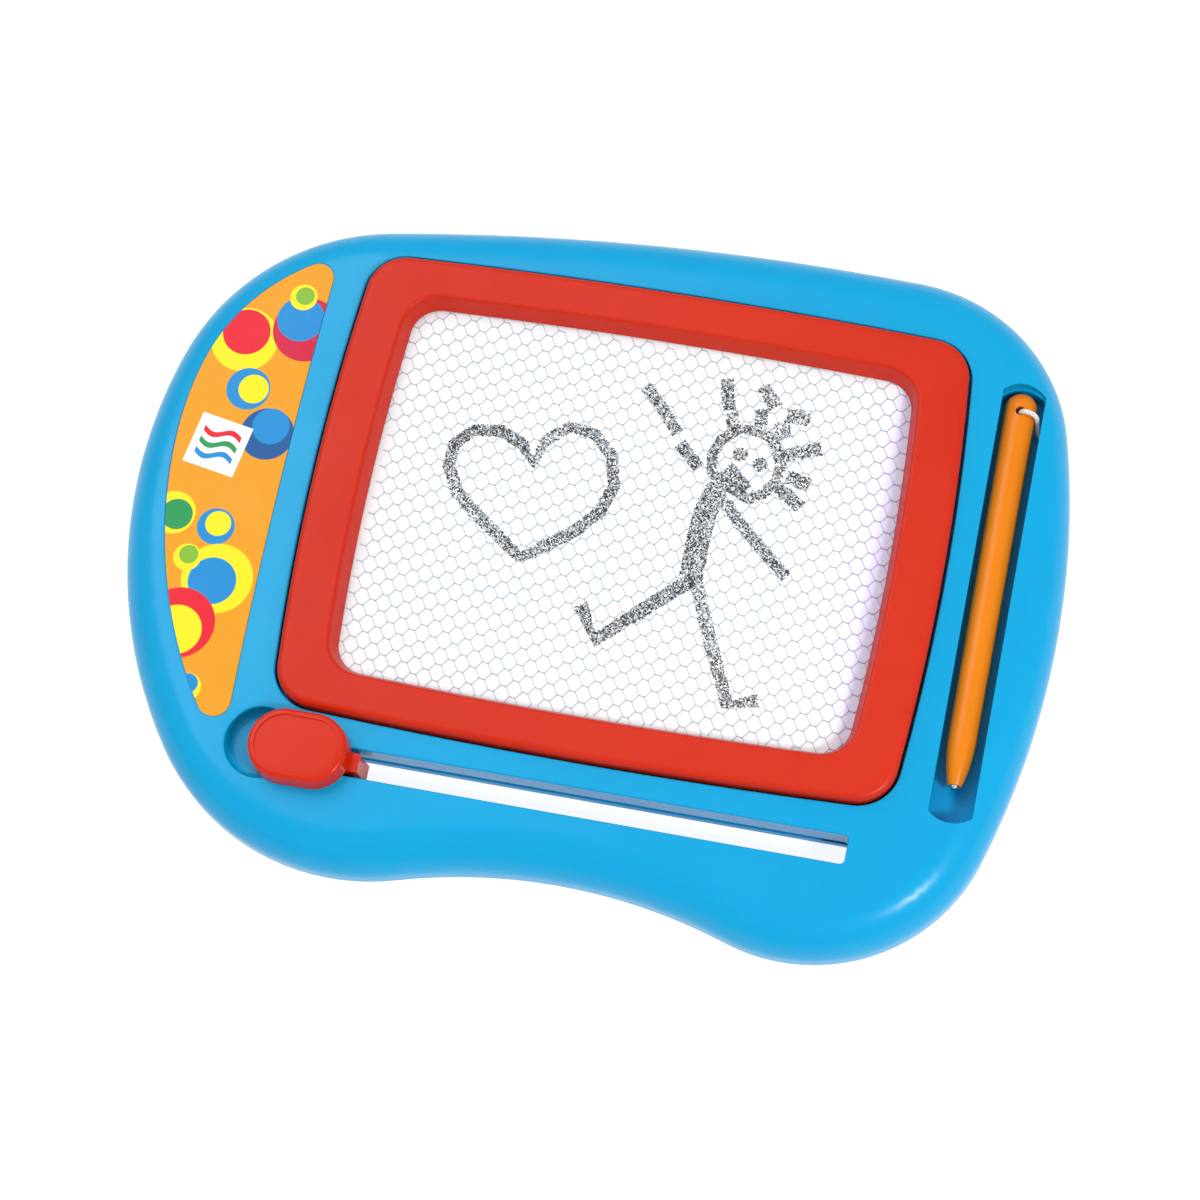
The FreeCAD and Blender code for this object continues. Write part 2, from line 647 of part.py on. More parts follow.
def bezel():
    """Shell with an outer skirt down to the casing's ledge and a sloping inner wall."""
    body = new_body("bezel")
    sketch = new_sketch(body, "ledge_height")
    frame_outline(sketch)
    block = pad(body, sketch, "frame_top -ledge_height")
    fillet(body, level_edges(block.Shape, number("frame_top")), "frame_round")
    screen_top = "ledge_height +gasket_thick +sheet_thick +core_thick +sheet_thick"
    seat = new_sketch(body, "ledge_height")
    frame_outline(seat, "frame_skin")
    pocket(body, seat, f"{screen_top} -ledge_height", upward=True)
    hollow = new_sketch(body, screen_top)
    frame_outline(hollow, "frame_skin")
    opening_outline(hollow, "-crease_run -frame_skin")
    pocket(body, hollow, f"frame_top -frame_skin {flip(screen_top)}", upward=True)
    window = new_sketch(body, "frame_top")
    opening_outline(window, "-crease_run")
    pocket(body, window, f"frame_top {flip(screen_top)}", taper="crease_taper")
    crease = level_edges(body.Shape, number("frame_top"), inside_crease)
    fillet(body, crease, "crease_round")
    bosses = new_sketch(body, "ledge_height")
    discs(bosses, frame_screw_places(), "frame_boss")
    pad(body, bosses, "frame_top -frame_skin -ledge_height +crease_round")
    pilots = new_sketch(body, "ledge_height")
    discs(pilots, frame_screw_places(), "frame_pilot")
    pocket(body, pilots, "pilot_length", upward=True)
    return body


def inside_crease(box):
    limit = "opening_half_x +crease_run +crease_round"
    return box.XMax < number(f"frame_x +{limit}") and box.XMin > number(f"frame_x {flip(limit)}")


def screen():
    """Gasket ring, back sheet, core and front sheet, stacked on the casing's ledge."""
    gasket = new_body("screen_gasket")
    ring = new_sketch(gasket, "ledge_height")
    opening_outline(ring, "-screen_lap")
    opening_outline(ring, "-gasket_lap")
    pad(gasket, ring, "gasket_thick")
    back = "ledge_height +gasket_thick"
    core = f"{back} +sheet_thick"
    front = f"{core} +core_thick"
    return [
        gasket,
        prism("screen_back_sheet", opening_outline, back, "sheet_thick", "-screen_lap"),
        prism("screen_core", opening_outline, core, "core_thick", "-screen_lap"),
        prism("screen_front_sheet", opening_outline, front, "sheet_thick", "-screen_lap"),
    ]


def label_sticker():
    return prism("label_sticker", label_outline, "deck_height -label_depth", "label_thick",
                 "label_margin")


# ---------------------------------------------------------------- screws

def rod(name, x, y, bottom, height, radius):
    """Upright cylinder at a place given by sums of sizes."""
    cylinder = DOC.addObject("Part::Cylinder", name)
    bind(cylinder, "Radius", radius)
    bind(cylinder, "Height", height)
    bind(cylinder, "Placement.Base.x", x)
    bind(cylinder, "Placement.Base.y", y)
    bind(cylinder, "Placement.Base.z", bottom)
    return cylinder


def screws(label, places, seat, head_radius, head_thick, radius, length):
    """Pan-head screws that point up: each head hangs below its seat, its shank stands above."""
    joined = []
    for index, (x, y) in enumerate(places, start=1):
        head = rod(f"{label}_head_{index}", x, y, f"{seat} -{head_thick}", head_thick,
                   head_radius)
        shank = rod(f"{label}_shank_{index}", x, y, f"{seat} -{head_thick}",
                    f"{head_thick} +{length}", radius)
        screw = DOC.addObject("Part::Fuse", f"{label}_{index}")
        screw.Base = head
        screw.Tool = shank
        joined.append(screw)
    group = DOC.addObject("Part::Compound", label)
    group.Links = joined
    group.Label = label
    return group


def all_screws():
    knob_places = [(f"knob_x {side}knob_boss_step", "slot_y") for side in ("-", "+")]
    arm_places = [("bar_x", f"arm_screw_low_y {side}arm_screw_step") for side in ("-", "+")]
    return [
        screws("cover_screws", screw_places(), "cover_bottom +counterbore_depth", "head_radius",
               "head_thick", "screw_radius", "cover_screw_length"),
        screws("bezel_screws", frame_screw_places(), "flange_height", "frame_head_radius",
               "frame_head_thick", "frame_screw_radius", "frame_screw_length"),
        screws("knob_screws", knob_places, "arm_bore_top", "frame_head_radius",
               "frame_head_thick", "frame_screw_radius", "knob_screw_length"),
        screws("arm_screws", arm_places, "lap_low +lap_bore_depth", "frame_head_radius",
               "lap_head_thick", "lap_screw_radius", "lap_screw_length"),
    ]


# ---------------------------------------------------------------- eraser

def slider_knob():
    """Drafted stadium with a shallow dish on top, hollow beneath, with two screw bosses."""
    base = "deck_height +knob_clear"
    body = new_body("slider_knob")
    low = new_sketch(body, base)
    stadium(low, "knob_half", "knob_end")
    pad(body, low, f"knob_top {flip(base)}", taper="knob_taper")
    fillet(body, level_edges(body.Shape, number("knob_top")), "knob_round")
    dish = new_sketch(body, "knob_top")
    stadium(dish, "knob_half", "knob_end", "knob_draft +knob_dish_inset")
    pocket(body, dish, "knob_dish_depth")
    hollow = new_sketch(body, base)
    stadium(hollow, "knob_half", "knob_end", "knob_skin")
    pocket(body, hollow, "knob_hollow", upward=True)
    places = [(f"knob_x {side}knob_boss_step", "slot_y") for side in ("-", "+")]
    bosses = new_sketch(body, base)
    discs(bosses, places, "knob_boss")
    pad(body, bosses, "knob_hollow +crease_round")
    pilots = new_sketch(body, base)
    discs(pilots, places, "knob_pilot")
    pocket(body, pilots, "knob_pilot_depth", upward=True)
    return body


def slider_arm():
    """Stem through the slot, guide plate in the slit, and the lap that carries the bar."""
    body = new_body("slider_arm")
    stem = new_sketch(body, "arm_low")
    rounded_rectangle(stem, "stem_left", "stem_right", "slot_y -stem_half", "slot_y +stem_half",
                      "stem_corner")
    pad(body, stem, "deck_height +knob_clear -arm_low")
    plate = new_sketch(body, "arm_low")
    rounded_rectangle(plate, "arm_left", "arm_right", "tongue_y", "arm_step_y", "arm_corner")
    pad(body, plate, "arm_high -arm_low")
    lap = new_sketch(body, "lap_low")
    rounded_rectangle(lap, "arm_left", "arm_right", "arm_root_y", "arm_end_y", "arm_corner")
    pad(body, lap, "lap_high -lap_low")
    shoe = new_sketch(body, "", "XZ_Plane")
    bind(shoe, "AttachmentOffset.Base.z", "-slot_y")
    polygon(shoe, [("shoe_left", "arm_low"), ("shoe_foot_x", "arm_low"),
                   ("shoe_top_x", "shoe_height"), ("shoe_left", "shoe_height")])
    pad(body, shoe, "shoe_half +shoe_half", midplane=True)
    knob_places = [(f"knob_x {side}knob_boss_step", "slot_y") for side in ("-", "+")]
    bores = new_sketch(body, "lap_low")
    discs(bores, knob_places, "arm_bore_radius")
    pocket(body, bores, "arm_bore_top -lap_low", upward=True)
    holes = new_sketch(body, "lap_low")
    discs(holes, knob_places, "frame_clear_radius")
    pocket(body, holes, "deck_height", upward=True)
    arm_places = [("bar_x", f"arm_screw_low_y {side}arm_screw_step") for side in ("-", "+")]
    sinks = new_sketch(body, "lap_low")
    discs(sinks, arm_places, "arm_bore_radius")
    pocket(body, sinks, "lap_bore_depth", upward=True)
    clears = new_sketch(body, "lap_low")
    discs(clears, arm_places, "lap_clear_radius")
    pocket(body, clears, "lap_high", upward=True)
    return body


def eraser_bar():
    """Flat bar under the screen with a groove for the magnet and a foot on the cover's rail."""
    body = new_body("eraser_bar")
    sketch = new_sketch(body, "lap_high")
    rounded_rectangle(sketch, "bar_x -bar_half", "bar_x +bar_half", "bar_low_y", "bar_high_y",
                      "arm_corner")
    pad(body, sketch, "bar_top -lap_high")
    foot = new_sketch(body, "foot_height")
    rounded_rectangle(foot, "bar_x -bar_half", "bar_x +bar_half", "foot_low_y", "bar_high_y",
                      "arm_corner")
    pad(body, foot, "lap_high +groove_depth -foot_height")
    groove = new_sketch(body, "bar_top -groove_depth")
    magnet_outline(groove, "magnet_gap")
    pocket(body, groove, "groove_depth +bite", upward=True)
    arm_places = [("bar_x", f"arm_screw_low_y {side}arm_screw_step") for side in ("-", "+")]
    pilots = new_sketch(body, "lap_high")
    discs(pilots, arm_places, "lap_clear_radius")
    pocket(body, pilots, "lap_pilot_depth", upward=True)
    return body


def magnet_outline(sketch, grow=""):
    rounded_rectangle(sketch, f"bar_x -magnet_half {flip(grow)}", f"bar_x +magnet_half {grow}",
                      f"magnet_low_y {flip(grow)}", f"magnet_high_y {grow}", "deck_round")


def eraser_magnet():
    return prism("eraser_magnet", magnet_outline, "bar_top -groove_depth",
                 "magnet_top -bar_top +groove_depth")


# ---------------------------------------------------------------- pen

def lay_in_tray(body):
    """Move a body made about the Y axis to where the pen lies."""
    bind(body, "Placement.Base.x", "pen_x")
    bind(body, "Placement.Base.z", "pen_height")


def pen_barrel():
    """Turned about Y: domed end, slender body, tapered nose bored for the magnet and tip."""
    body = new_body("pen_barrel")
    sketch = new_sketch(body)
    dome_y = "pen_end -pen_radius"
    bore_end = "nose_end +nose_bore_depth"
    corner = {
        "end": Vector(0, number("pen_end"), 0),
        "shoulder": Vector(number("pen_radius"), number(dome_y), 0),
        "nose": Vector(number("pen_waist"), number("nose_start"), 0),
        "mouth": Vector(number("nose_radius"), number("nose_end"), 0),
        "bore": Vector(number("nose_bore"), number("nose_end"), 0),
        "seat": Vector(number("nose_bore"), number(bore_end), 0),
        "axis": Vector(0, number(bore_end), 0),
    }
    dome = add_arc(sketch, Vector(0, number(dome_y), 0), number("pen_radius"), Vector(1, 0, 0),
                   Vector(0, 1, 0))
    side = add_line(sketch, corner["nose"], corner["shoulder"])
    bulge = Vector(number("pen_waist") - 0.5, (corner["nose"].y + corner["mouth"].y) / 2, 0)
    nose = sketch.addGeometry(Part.Arc(corner["mouth"], bulge, corner["nose"]), False)
    ring = add_line(sketch, corner["bore"], corner["mouth"])
    bore = add_line(sketch, corner["seat"], corner["bore"])
    seat = add_line(sketch, corner["axis"], corner["seat"])
    spine = add_line(sketch, corner["end"], corner["axis"])
    for first, second in ((dome, spine), (spine, seat), (seat, bore), (bore, ring), (ring, nose),
                          (nose, side), (side, dome)):
        sketch.addConstraint(Sketcher.Constraint("Coincident", first, 2, second, 1))
    pin_point(sketch, dome, 3, "pen_axis", dome_y)
    pin_point(sketch, dome, 2, "pen_axis", "pen_end")
    measure(sketch, "DistanceY", -1, 1, dome, 1, terms=dome_y)
    pin_point(sketch, side, 1, "pen_waist", "nose_start")
    pin_point(sketch, ring, 2, "nose_radius", "nose_end")
    measure(sketch, "Radius", nose, terms="nose_sweep")
    pin_point(sketch, bore, 2, "nose_bore", "nose_end")
    pin_point(sketch, seat, 2, "nose_bore", bore_end)
    pin_point(sketch, seat, 1, "pen_axis", bore_end)
    turned = body.newObject("PartDesign::Revolution", "pen_turning")
    turned.Profile = sketch
    turned.ReferenceAxis = (sketch, ["V_Axis"])
    turned.Angle = 360.0
    DOC.recompute()
    eyelet = new_sketch(body, "pen_radius")
    discs(eyelet, [("pen_axis", "eyelet_y")], "eyelet_radius")
    pocket(body, eyelet, "pen_radius +pen_radius")
    sink = new_sketch(body, "-pen_radius")
    discs(sink, [("pen_axis", "eyelet_y")], "eyelet_sink")
    pocket(body, sink, "eyelet_sink_depth", upward=True)
    lay_in_tray(body)
    return body


def pen_core(label, start, length, radius):
    """Cylinder on the pen's axis that runs up the barrel from a start along Y."""
    core = DOC.addObject("Part::Cylinder", label)
    bind(core, "Radius", radius)
    bind(core, "Height", length)
    core.Placement = Placement(Vector(0, 0, 0), Rotation(Vector(1, 0, 0), -90))
    bind(core, "Placement.Base.x", "pen_x")
    bind(core, "Placement.Base.y", start)
    bind(core, "Placement.Base.z", "pen_height")
    core.Label = label
    return core


def pen_tip():
    """Plated pin with a round nose that draws on the screen."""
    pin = pen_core("pen_tip_pin", "nose_end", "tip_length", "tip_radius")
    ball = DOC.addObject("Part::Sphere", "pen_tip_ball")
    bind(ball, "Radius", "tip_ball")
    bind(ball, "Placement.Base.x", "pen_x")
    bind(ball, "Placement.Base.y", "nose_end")
    bind(ball, "Placement.Base.z", "pen_height")
    ball.Placement.Rotation = Rotation(Vector(1, 0, 0), 90)
    ball.Angle1 = 0.0
    tip = DOC.addObject("Part::Fuse", "pen_tip")
    tip.Base = pin
    tip.Tool = ball
    tip.Label = "pen_tip"
    return tip


# ---------------------------------------------------------------- string

def tube_path(route):
    """Straight runs joined by tangent arcs, each as large as its two runs allow."""
    points = [Vector(*place) for place in route]
    edges = []
    radii = []
    position = points[0]
    for before, corner, after in zip(points, points[1:], points[2:]):
        back = before - corner
        ahead = after - corner
        reach = 0.45 * min(back.Length, ahead.Length)
        start = corner + back * (reach / back.Length)
        end = corner + ahead * (reach / ahead.Length)
        half_turn = (math.pi - back.getAngle(ahead)) / 2
        radius = reach / math.tan(half_turn)
        bisector = (start + end) * 0.5 - corner
        bisector.normalize()
        depth = radius / math.cos(half_turn) - radius
        edges.append(Part.LineSegment(position, start).toShape())
        edges.append(Part.Arc(start, corner + bisector * depth, end).toShape())
        radii.append(round(radius, 1))
        position = end
    edges.append(Part.LineSegment(position, points[-1]).toShape())
    return Part.Wire(edges), radii


def tether_string():
    """Slack string as one tube, with its volume checked against section times length."""
    path, radii = tube_path(STRING_ROUTE)
    start = Vector(*STRING_ROUTE[0])
    heading = Vector(*STRING_ROUTE[1]) - start
    radius = number("string_radius")
    section = Part.Wire([Part.Circle(start, heading, radius).toShape()])
    tube = path.makePipeShell([section], True, False)
    expected = math.pi * radius ** 2 * path.Length
    print("string length", round(path.Length, 1), "radii", radii,
          "volume ratio", round(tube.Volume / expected, 4))
    string = DOC.addObject("Part::Feature", "tether_string")
    string.Shape = tube
    string.Label = "tether_string"
    return string


def tether_pen_knot():
    """Knot under the pen's eyelet, with the neck of string that stands up from it."""
    ball = DOC.addObject("Part::Sphere", "pen_knot_ball")
    bind(ball, "Radius", "pen_knot_radius")
    bind(ball, "Placement.Base.x", "pen_x")
    bind(ball, "Placement.Base.y", "eyelet_y")
    bind(ball, "Placement.Base.z", "pen_knot_z")
    neck = rod("pen_knot_neck", "pen_x", "eyelet_y", "pen_knot_z", "pen_neck_top -pen_knot_z",
               "string_radius")
    knot = DOC.addObject("Part::Fuse", "tether_pen_knot")
    knot.Base = ball
    knot.Tool = neck
    knot.Label = "tether_pen_knot"
    return knot


def tether_stop_knot():
    """Knot at the string's inner end, too big for the hole in the tray."""
    end = Vector(*STRING_ROUTE[-1])
    run = end - Vector(*STRING_ROUTE[-2])
    knot = DOC.addObject("Part::Sphere", "tether_stop_knot")
    bind(knot, "Radius", "stop_knot_radius")
    run.normalize()
    knot.Placement = Placement(end + run * number("stop_knot_radius"), Rotation())
    knot.Label = "tether_stop_knot"
    return knot


# ---------------------------------------------------------------- output

def check_and_write(nodes):
    DOC.recompute()
    for thing in DOC.Objects:
        if "Invalid" in thing.State or "Error" in thing.State:
            raise ValueError(f"{thing.Name} failed: {thing.State}")
    os.makedirs("parts", exist_ok=True)
    for node in nodes:
        if node.Shape.isNull() or not node.Shape.isValid():
            raise ValueError(f"{node.Label} has no valid shape")
    for node in nodes:
        node.Shape.exportStep(f"parts/{node.Label}.step")
        print(node.Label, len(node.Shape.Solids), round(node.Shape.Volume, 1))


fill_sheet()
check_and_write([
    front_casing(),
    back_cover(),
    bezel(),
    *screen(),
    label_sticker(),
    *all_screws(),
    slider_knob(),
    slider_arm(),
    eraser_bar(),
    eraser_magnet(),
    pen_barrel(),
    pen_tip(),
    pen_core("pen_magnet", "nose_end +tip_length", "magnet_length", "tip_radius"),
    tether_string(),
    tether_pen_knot(),
    tether_stop_knot(),
])
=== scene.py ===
import math

import bmesh
import bpy
from mathutils import Matrix, Vector
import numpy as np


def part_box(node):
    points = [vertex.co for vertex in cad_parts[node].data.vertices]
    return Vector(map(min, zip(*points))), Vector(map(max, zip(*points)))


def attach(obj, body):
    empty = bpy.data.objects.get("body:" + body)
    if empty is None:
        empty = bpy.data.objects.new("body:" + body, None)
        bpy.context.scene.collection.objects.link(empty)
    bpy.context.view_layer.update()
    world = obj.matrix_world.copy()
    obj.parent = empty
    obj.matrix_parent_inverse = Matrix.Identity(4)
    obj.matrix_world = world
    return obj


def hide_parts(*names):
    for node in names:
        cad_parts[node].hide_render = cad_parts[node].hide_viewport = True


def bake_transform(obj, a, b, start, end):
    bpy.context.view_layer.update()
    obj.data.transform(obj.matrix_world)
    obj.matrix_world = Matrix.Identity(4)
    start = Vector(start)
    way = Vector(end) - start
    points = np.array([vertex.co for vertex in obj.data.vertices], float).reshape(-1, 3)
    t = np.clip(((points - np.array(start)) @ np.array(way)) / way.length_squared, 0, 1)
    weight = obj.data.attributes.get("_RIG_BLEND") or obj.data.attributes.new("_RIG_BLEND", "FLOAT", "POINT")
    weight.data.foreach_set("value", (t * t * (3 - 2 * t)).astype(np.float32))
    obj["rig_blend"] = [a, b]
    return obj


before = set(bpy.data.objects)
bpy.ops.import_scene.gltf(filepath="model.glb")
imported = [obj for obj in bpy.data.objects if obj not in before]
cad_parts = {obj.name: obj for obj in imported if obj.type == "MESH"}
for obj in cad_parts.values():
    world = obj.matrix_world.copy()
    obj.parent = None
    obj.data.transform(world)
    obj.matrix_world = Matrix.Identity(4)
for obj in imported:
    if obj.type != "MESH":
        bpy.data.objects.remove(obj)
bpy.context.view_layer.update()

MM = 0.001


# ---------------------------------------------------------------- camera
# The view: a long lens held high over the board's lower edge and swung to the right.
# It is turned on its own axis, so the board's long edges run downhill to the right.

CAMERA_PLACE = (0.1475, -0.30405, 0.98948)
CAMERA_LENS = 105.02

bearing, height, tilt = (math.radians(angle) for angle in (25.683, 71.614, -14.955))
away = Vector((math.sin(bearing) * math.cos(height), -math.cos(bearing) * math.cos(height),
               math.sin(height)))
level = Vector((math.cos(bearing), math.sin(bearing), 0))
upright = away.cross(level)
camera_right = level * math.cos(tilt) + upright * math.sin(tilt)
camera_up = upright * math.cos(tilt) - level * math.sin(tilt)
camera_data = bpy.data.cameras.new("camera")
camera_data.lens = CAMERA_LENS
camera_data.sensor_width = 36
camera_data.clip_start = 0.05
camera = bpy.data.objects.new("camera", camera_data)
bpy.context.scene.collection.objects.link(camera)
camera.matrix_world = Matrix.Translation(CAMERA_PLACE) @ Matrix(
    (camera_right, camera_up, away)).transposed().to_4x4()
bpy.context.scene.camera = camera


# ---------------------------------------------------------------- string
# White braided string, 1.5 mm thick. It comes up out of the pen's eyelet, drops beside the pen,
# goes through the tray's wall and lies slack in the hollow rim, where a knot stops it.

STRING_ROUTE = [
    (118.25, 66.6, 12.6), (118.35, 66.5, 17.3), (122.9, 65.7, 17.1), (124.1, 64.6, 12.2),
    (124.15, 62.3, 8.4), (128.7, 61.0, 8.0), (130.8, 55.0, 6.4), (130.2, 46.0, 5.1),
    (132.6, 34.0, 5.0), (133.2, 20.0, 5.0), (130.4, 6.0, 5.0), (130.2, -8.0, 5.0),
    (132.2, -21.0, 5.0), (131.6, -35.0, 5.0), (130.2, -47.0, 5.0), (128.5, -57.5, 5.0),
    (124.2, -67.0, 5.0), (116.5, -73.5, 5.1), (107.5, -75.0, 5.6), (100.0, -72.0, 6.3),
]
STRING_RADIUS = 0.75 * MM
STRING_PITCH = 2.6 * MM
STRING_STEP = 0.35 * MM
EYELET_TOP = (0.11825, 0.0666, 0.0168)
WALL_HOLE = (0.12415, 0.0623, 0.0084)
KNOT_STRAND = STRING_RADIUS * 1.05


class Wire:
    """One socket in a node tree. Arithmetic on it adds Math nodes; node() adds any other."""

    def __init__(self, tree, socket=None):
        self.tree = tree
        self.socket = socket

    def node(self, kind, settings, sockets, output=0):
        made = self.tree.nodes.new(kind)
        for name, value in settings.items():
            setattr(made, name, value)
        for key, value in sockets.items():
            if isinstance(value, Wire):
                self.tree.links.new(value.socket, made.inputs[key])
            elif value is not None:
                made.inputs[key].default_value = value
        return Wire(self.tree, made.outputs[output])

    def maths(self, operation, *others, turned=False):
        """A Math node on this value and the others; turned puts this one last."""
        values = (*others, self) if turned else (self, *others)
        return self.node("ShaderNodeMath", {"operation": operation}, dict(enumerate(values)))

    def __add__(self, other):
        return self.maths("ADD", other)

    __radd__ = __add__

    def __sub__(self, other):
        return self.maths("SUBTRACT", other)

    def __rsub__(self, other):
        return self.maths("SUBTRACT", other, turned=True)

    def __mul__(self, other):
        return self.maths("MULTIPLY", other)

    __rmul__ = __mul__

    def __truediv__(self, other):
        return self.maths("DIVIDE", other)

    def __gt__(self, other):
        return self.maths("GREATER_THAN", other)

    def ramp(self, low, high):
        """0 below low, 1 above high and straight between."""
        return self.node("ShaderNodeMapRange", {}, {0: self, 1: low, 2: high})

    def noise(self, scale, detail=2.0, place=None):
        sockets = {"Vector": place or self, "Scale": scale, "Detail": detail}
        return self.node("ShaderNodeTexNoise", {}, sockets)

    def tint(self, first, second):
        """Colour between two others, with this value as the share of the second."""
        return self.node("ShaderNodeMix", {"data_type": "RGBA"},
                         {0: self, 6: first, 7: second}, output=2)

    def bump(self, distance, strength=1.0):
        return self.node("ShaderNodeBump", {}, {"Height": self, "Distance": distance,
                                                "Strength": strength})


def new_finish(name, roughness, coat=0.0):
    """Material with a Principled shader; returns it, a wire to build on, and the shader."""
    material = bpy.data.materials.new(name)
    material.use_nodes = True
    tree = material.node_tree
    shader = tree.nodes["Principled BSDF"]
    shader.inputs["Roughness"].default_value = roughness
    shader.inputs["Coat Weight"].default_value = coat
    return material, Wire(tree), shader


def plug(wire, shader, name):
    wire.tree.links.new(wire.socket, shader.inputs[name])


def local(wire):
    """Object coordinates, in metres, in the board's own frame."""
    return wire.node("ShaderNodeTexCoord", {}, {}, output=3)


def split(wire):
    """The three parts of a vector."""
    first = wire.node("ShaderNodeSeparateXYZ", {}, {0: wire})
    outputs = first.socket.node.outputs
    return [Wire(wire.tree, outputs[index]) for index in range(3)]


def rgba(red, green, blue):
    return (red, green, blue, 1.0)


def finished(name, mesh, material):
    """Object for a finished mesh, at the origin, in one material."""
    mesh.materials.clear()
    mesh.materials.append(material)
    piece = bpy.data.objects.new(name, mesh)
    bpy.context.scene.collection.objects.link(piece)
    return piece


def centreline(name, points):
    """Smooth line with the route's points as its control points, read as a plain list."""
    curve = bpy.data.curves.new(name, "CURVE")
    curve.dimensions = "3D"
    curve.resolution_u = 12
    spline = curve.splines.new("NURBS")
    spline.points.add(len(points) - 1)
    for control, place in zip(spline.points, points):
        control.co = (*(Vector(place) * MM), 1.0)
    spline.order_u = 3
    spline.use_endpoint_u = True
    line = bpy.data.objects.new(name, curve)
    bpy.context.scene.collection.objects.link(line)
    mesh = bpy.data.meshes.new_from_object(line)
    path = [vertex.co.copy() for vertex in mesh.vertices]
    bpy.data.objects.remove(line)
    bpy.data.meshes.remove(mesh)
    return path


def evenly(path, step):
    """The same line with its points a step apart."""
    places = [path[0]]
    for start, end in zip(path, path[1:]):
        ahead = end - places[-1]
        while ahead.length > step:
            places.append(places[-1] + ahead * (step / ahead.length))
            ahead = end - places[-1]
    return places + [path[-1]]


def braided_tube(name, path, radius, pitch, around=16):
    """Tube of eight crossing strands along a line, with the way round and along it as its UV."""
    shell = bmesh.new()
    uv = shell.loops.layers.uv.new("braid")
    rings = []
    side = (path[1] - path[0]).orthogonal().normalized()
    gone = 0.0
    for index, place in enumerate(path):
        before = path[max(index - 1, 0)]
        after = path[min(index + 1, len(path) - 1)]
        heading = (after - before).normalized()
        side = (side - heading * side.dot(heading)).normalized()
        other = heading.cross(side)
        gone += (place - before).length
        ring = []
        for turn in range(around):
            angle = 2 * math.pi * turn / around
            wind = 2 * math.pi * gone / pitch
            strand = max(abs(math.sin(2 * angle + wind)), abs(math.sin(2 * angle - wind)))
            reach = radius * (0.86 + 0.14 * strand)
            ring.append(shell.verts.new(place + (side * math.cos(angle)
                                                 + other * math.sin(angle)) * reach))
        rings.append((ring, gone))
    for (ring, low), (following, high) in zip(rings, rings[1:]):
        for turn in range(around):
            upper = (turn + 1) % around
            face = shell.faces.new((ring[turn], ring[upper], following[upper], following[turn]))
            face.smooth = True
            corners = ((turn, low), (turn + 1, low), (turn + 1, high), (turn, high))
            for loop, (column, along) in zip(face.loops, corners):
                loop[uv].uv = (column / around, along / pitch)
    shell.faces.new(list(reversed(rings[0][0])))
    shell.faces.new(rings[-1][0])
    mesh = bpy.data.meshes.new(name)
    shell.to_mesh(mesh)
    shell.free()
    return mesh


def string_finish():
    material, wire, shader = new_finish("string_white", 0.85)
    place = wire.node("ShaderNodeUVMap", {"uv_map": "braid"}, {})
    across, along, _ = split(place)
    left = (across * (4 * math.pi) + along * (2 * math.pi)).maths("SINE").maths("ABSOLUTE")
    right = (across * (4 * math.pi) - along * (2 * math.pi)).maths("SINE").maths("ABSOLUTE")
    strand = left.maths("MAXIMUM", right)
    fibres = wire.noise(9000.0, 3.0, local(wire))
    # Painted shade: grey in the grooves between the strands, near white on their crests, with fibre noise
    # mixed in.
    shade = strand.ramp(0.55, 0.95) * 0.8 + fibres * 0.2
    plug(shade.tint(rgba(0.50, 0.49, 0.47), rgba(0.88, 0.87, 0.85)), shader, "Base Color")
    plug((strand + fibres * 0.4).bump(0.0001), shader, "Normal")
    shader.inputs["Sheen Weight"].default_value = 0.3
    return material


def overhand_knot(name, centre, reach, material):
    """Small trefoil of the same string, drawn tight, inside the ball that stands in for it."""
    turns = 72
    loop = []
    for turn in range(turns + 1):
        angle = 2 * math.pi * turn / turns
        loop.append(Vector((math.sin(angle) + 2 * math.sin(2 * angle),
                            math.cos(angle) - 2 * math.cos(2 * angle),
                            -1.6 * math.sin(3 * angle))) * (reach / 3) + centre)
    mesh = braided_tube(name, loop, STRING_RADIUS * 0.9, STRING_PITCH, around=12)
    return finished(name, mesh, material)


string_material = string_finish()
string_line = evenly(centreline("string_line", STRING_ROUTE), STRING_STEP)
string_length = sum((b - a).length for a, b in zip(string_line, string_line[1:]))
tether = finished("tether_braid",
                  braided_tube("tether_braid", string_line, STRING_RADIUS, STRING_PITCH),
                  string_material)
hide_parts("tether_string")

pen_knot_low, pen_knot_high = (Vector(corner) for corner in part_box("tether_pen_knot"))
pen_knot_reach = (pen_knot_high.x - pen_knot_low.x) / 2
pen_knot_centre = pen_knot_low + Vector((1, 1, 1)) * pen_knot_reach
pen_knot = overhand_knot("pen_knot", pen_knot_centre, pen_knot_reach - KNOT_STRAND,
                         string_material)
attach(pen_knot, "pen")
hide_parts("tether_pen_knot")

stop_low, stop_high = (Vector(corner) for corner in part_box("tether_stop_knot"))
stop_knot = overhand_knot("stop_knot", (stop_low + stop_high) / 2,
                          (stop_high.x - stop_low.x) / 2 - KNOT_STRAND,
                          string_material)
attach(stop_knot, "casing")
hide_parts("tether_stop_knot")

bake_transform(tether, "casing", "pen", start=WALL_HOLE, end=EYELET_TOP)


# ---------------------------------------------------------------- casing front
# One glossy sky-blue moulding: rolled rim, well for the frame, slot, finger dish and pen tray.
# Its edges come from the mould, and handling has left faint scuffs on the gloss.

BLUE = rgba(0.002, 0.365, 0.68)
DEEP_BLUE = rgba(0.002, 0.34, 0.65)
PLASTIC_SHINE = 0.2


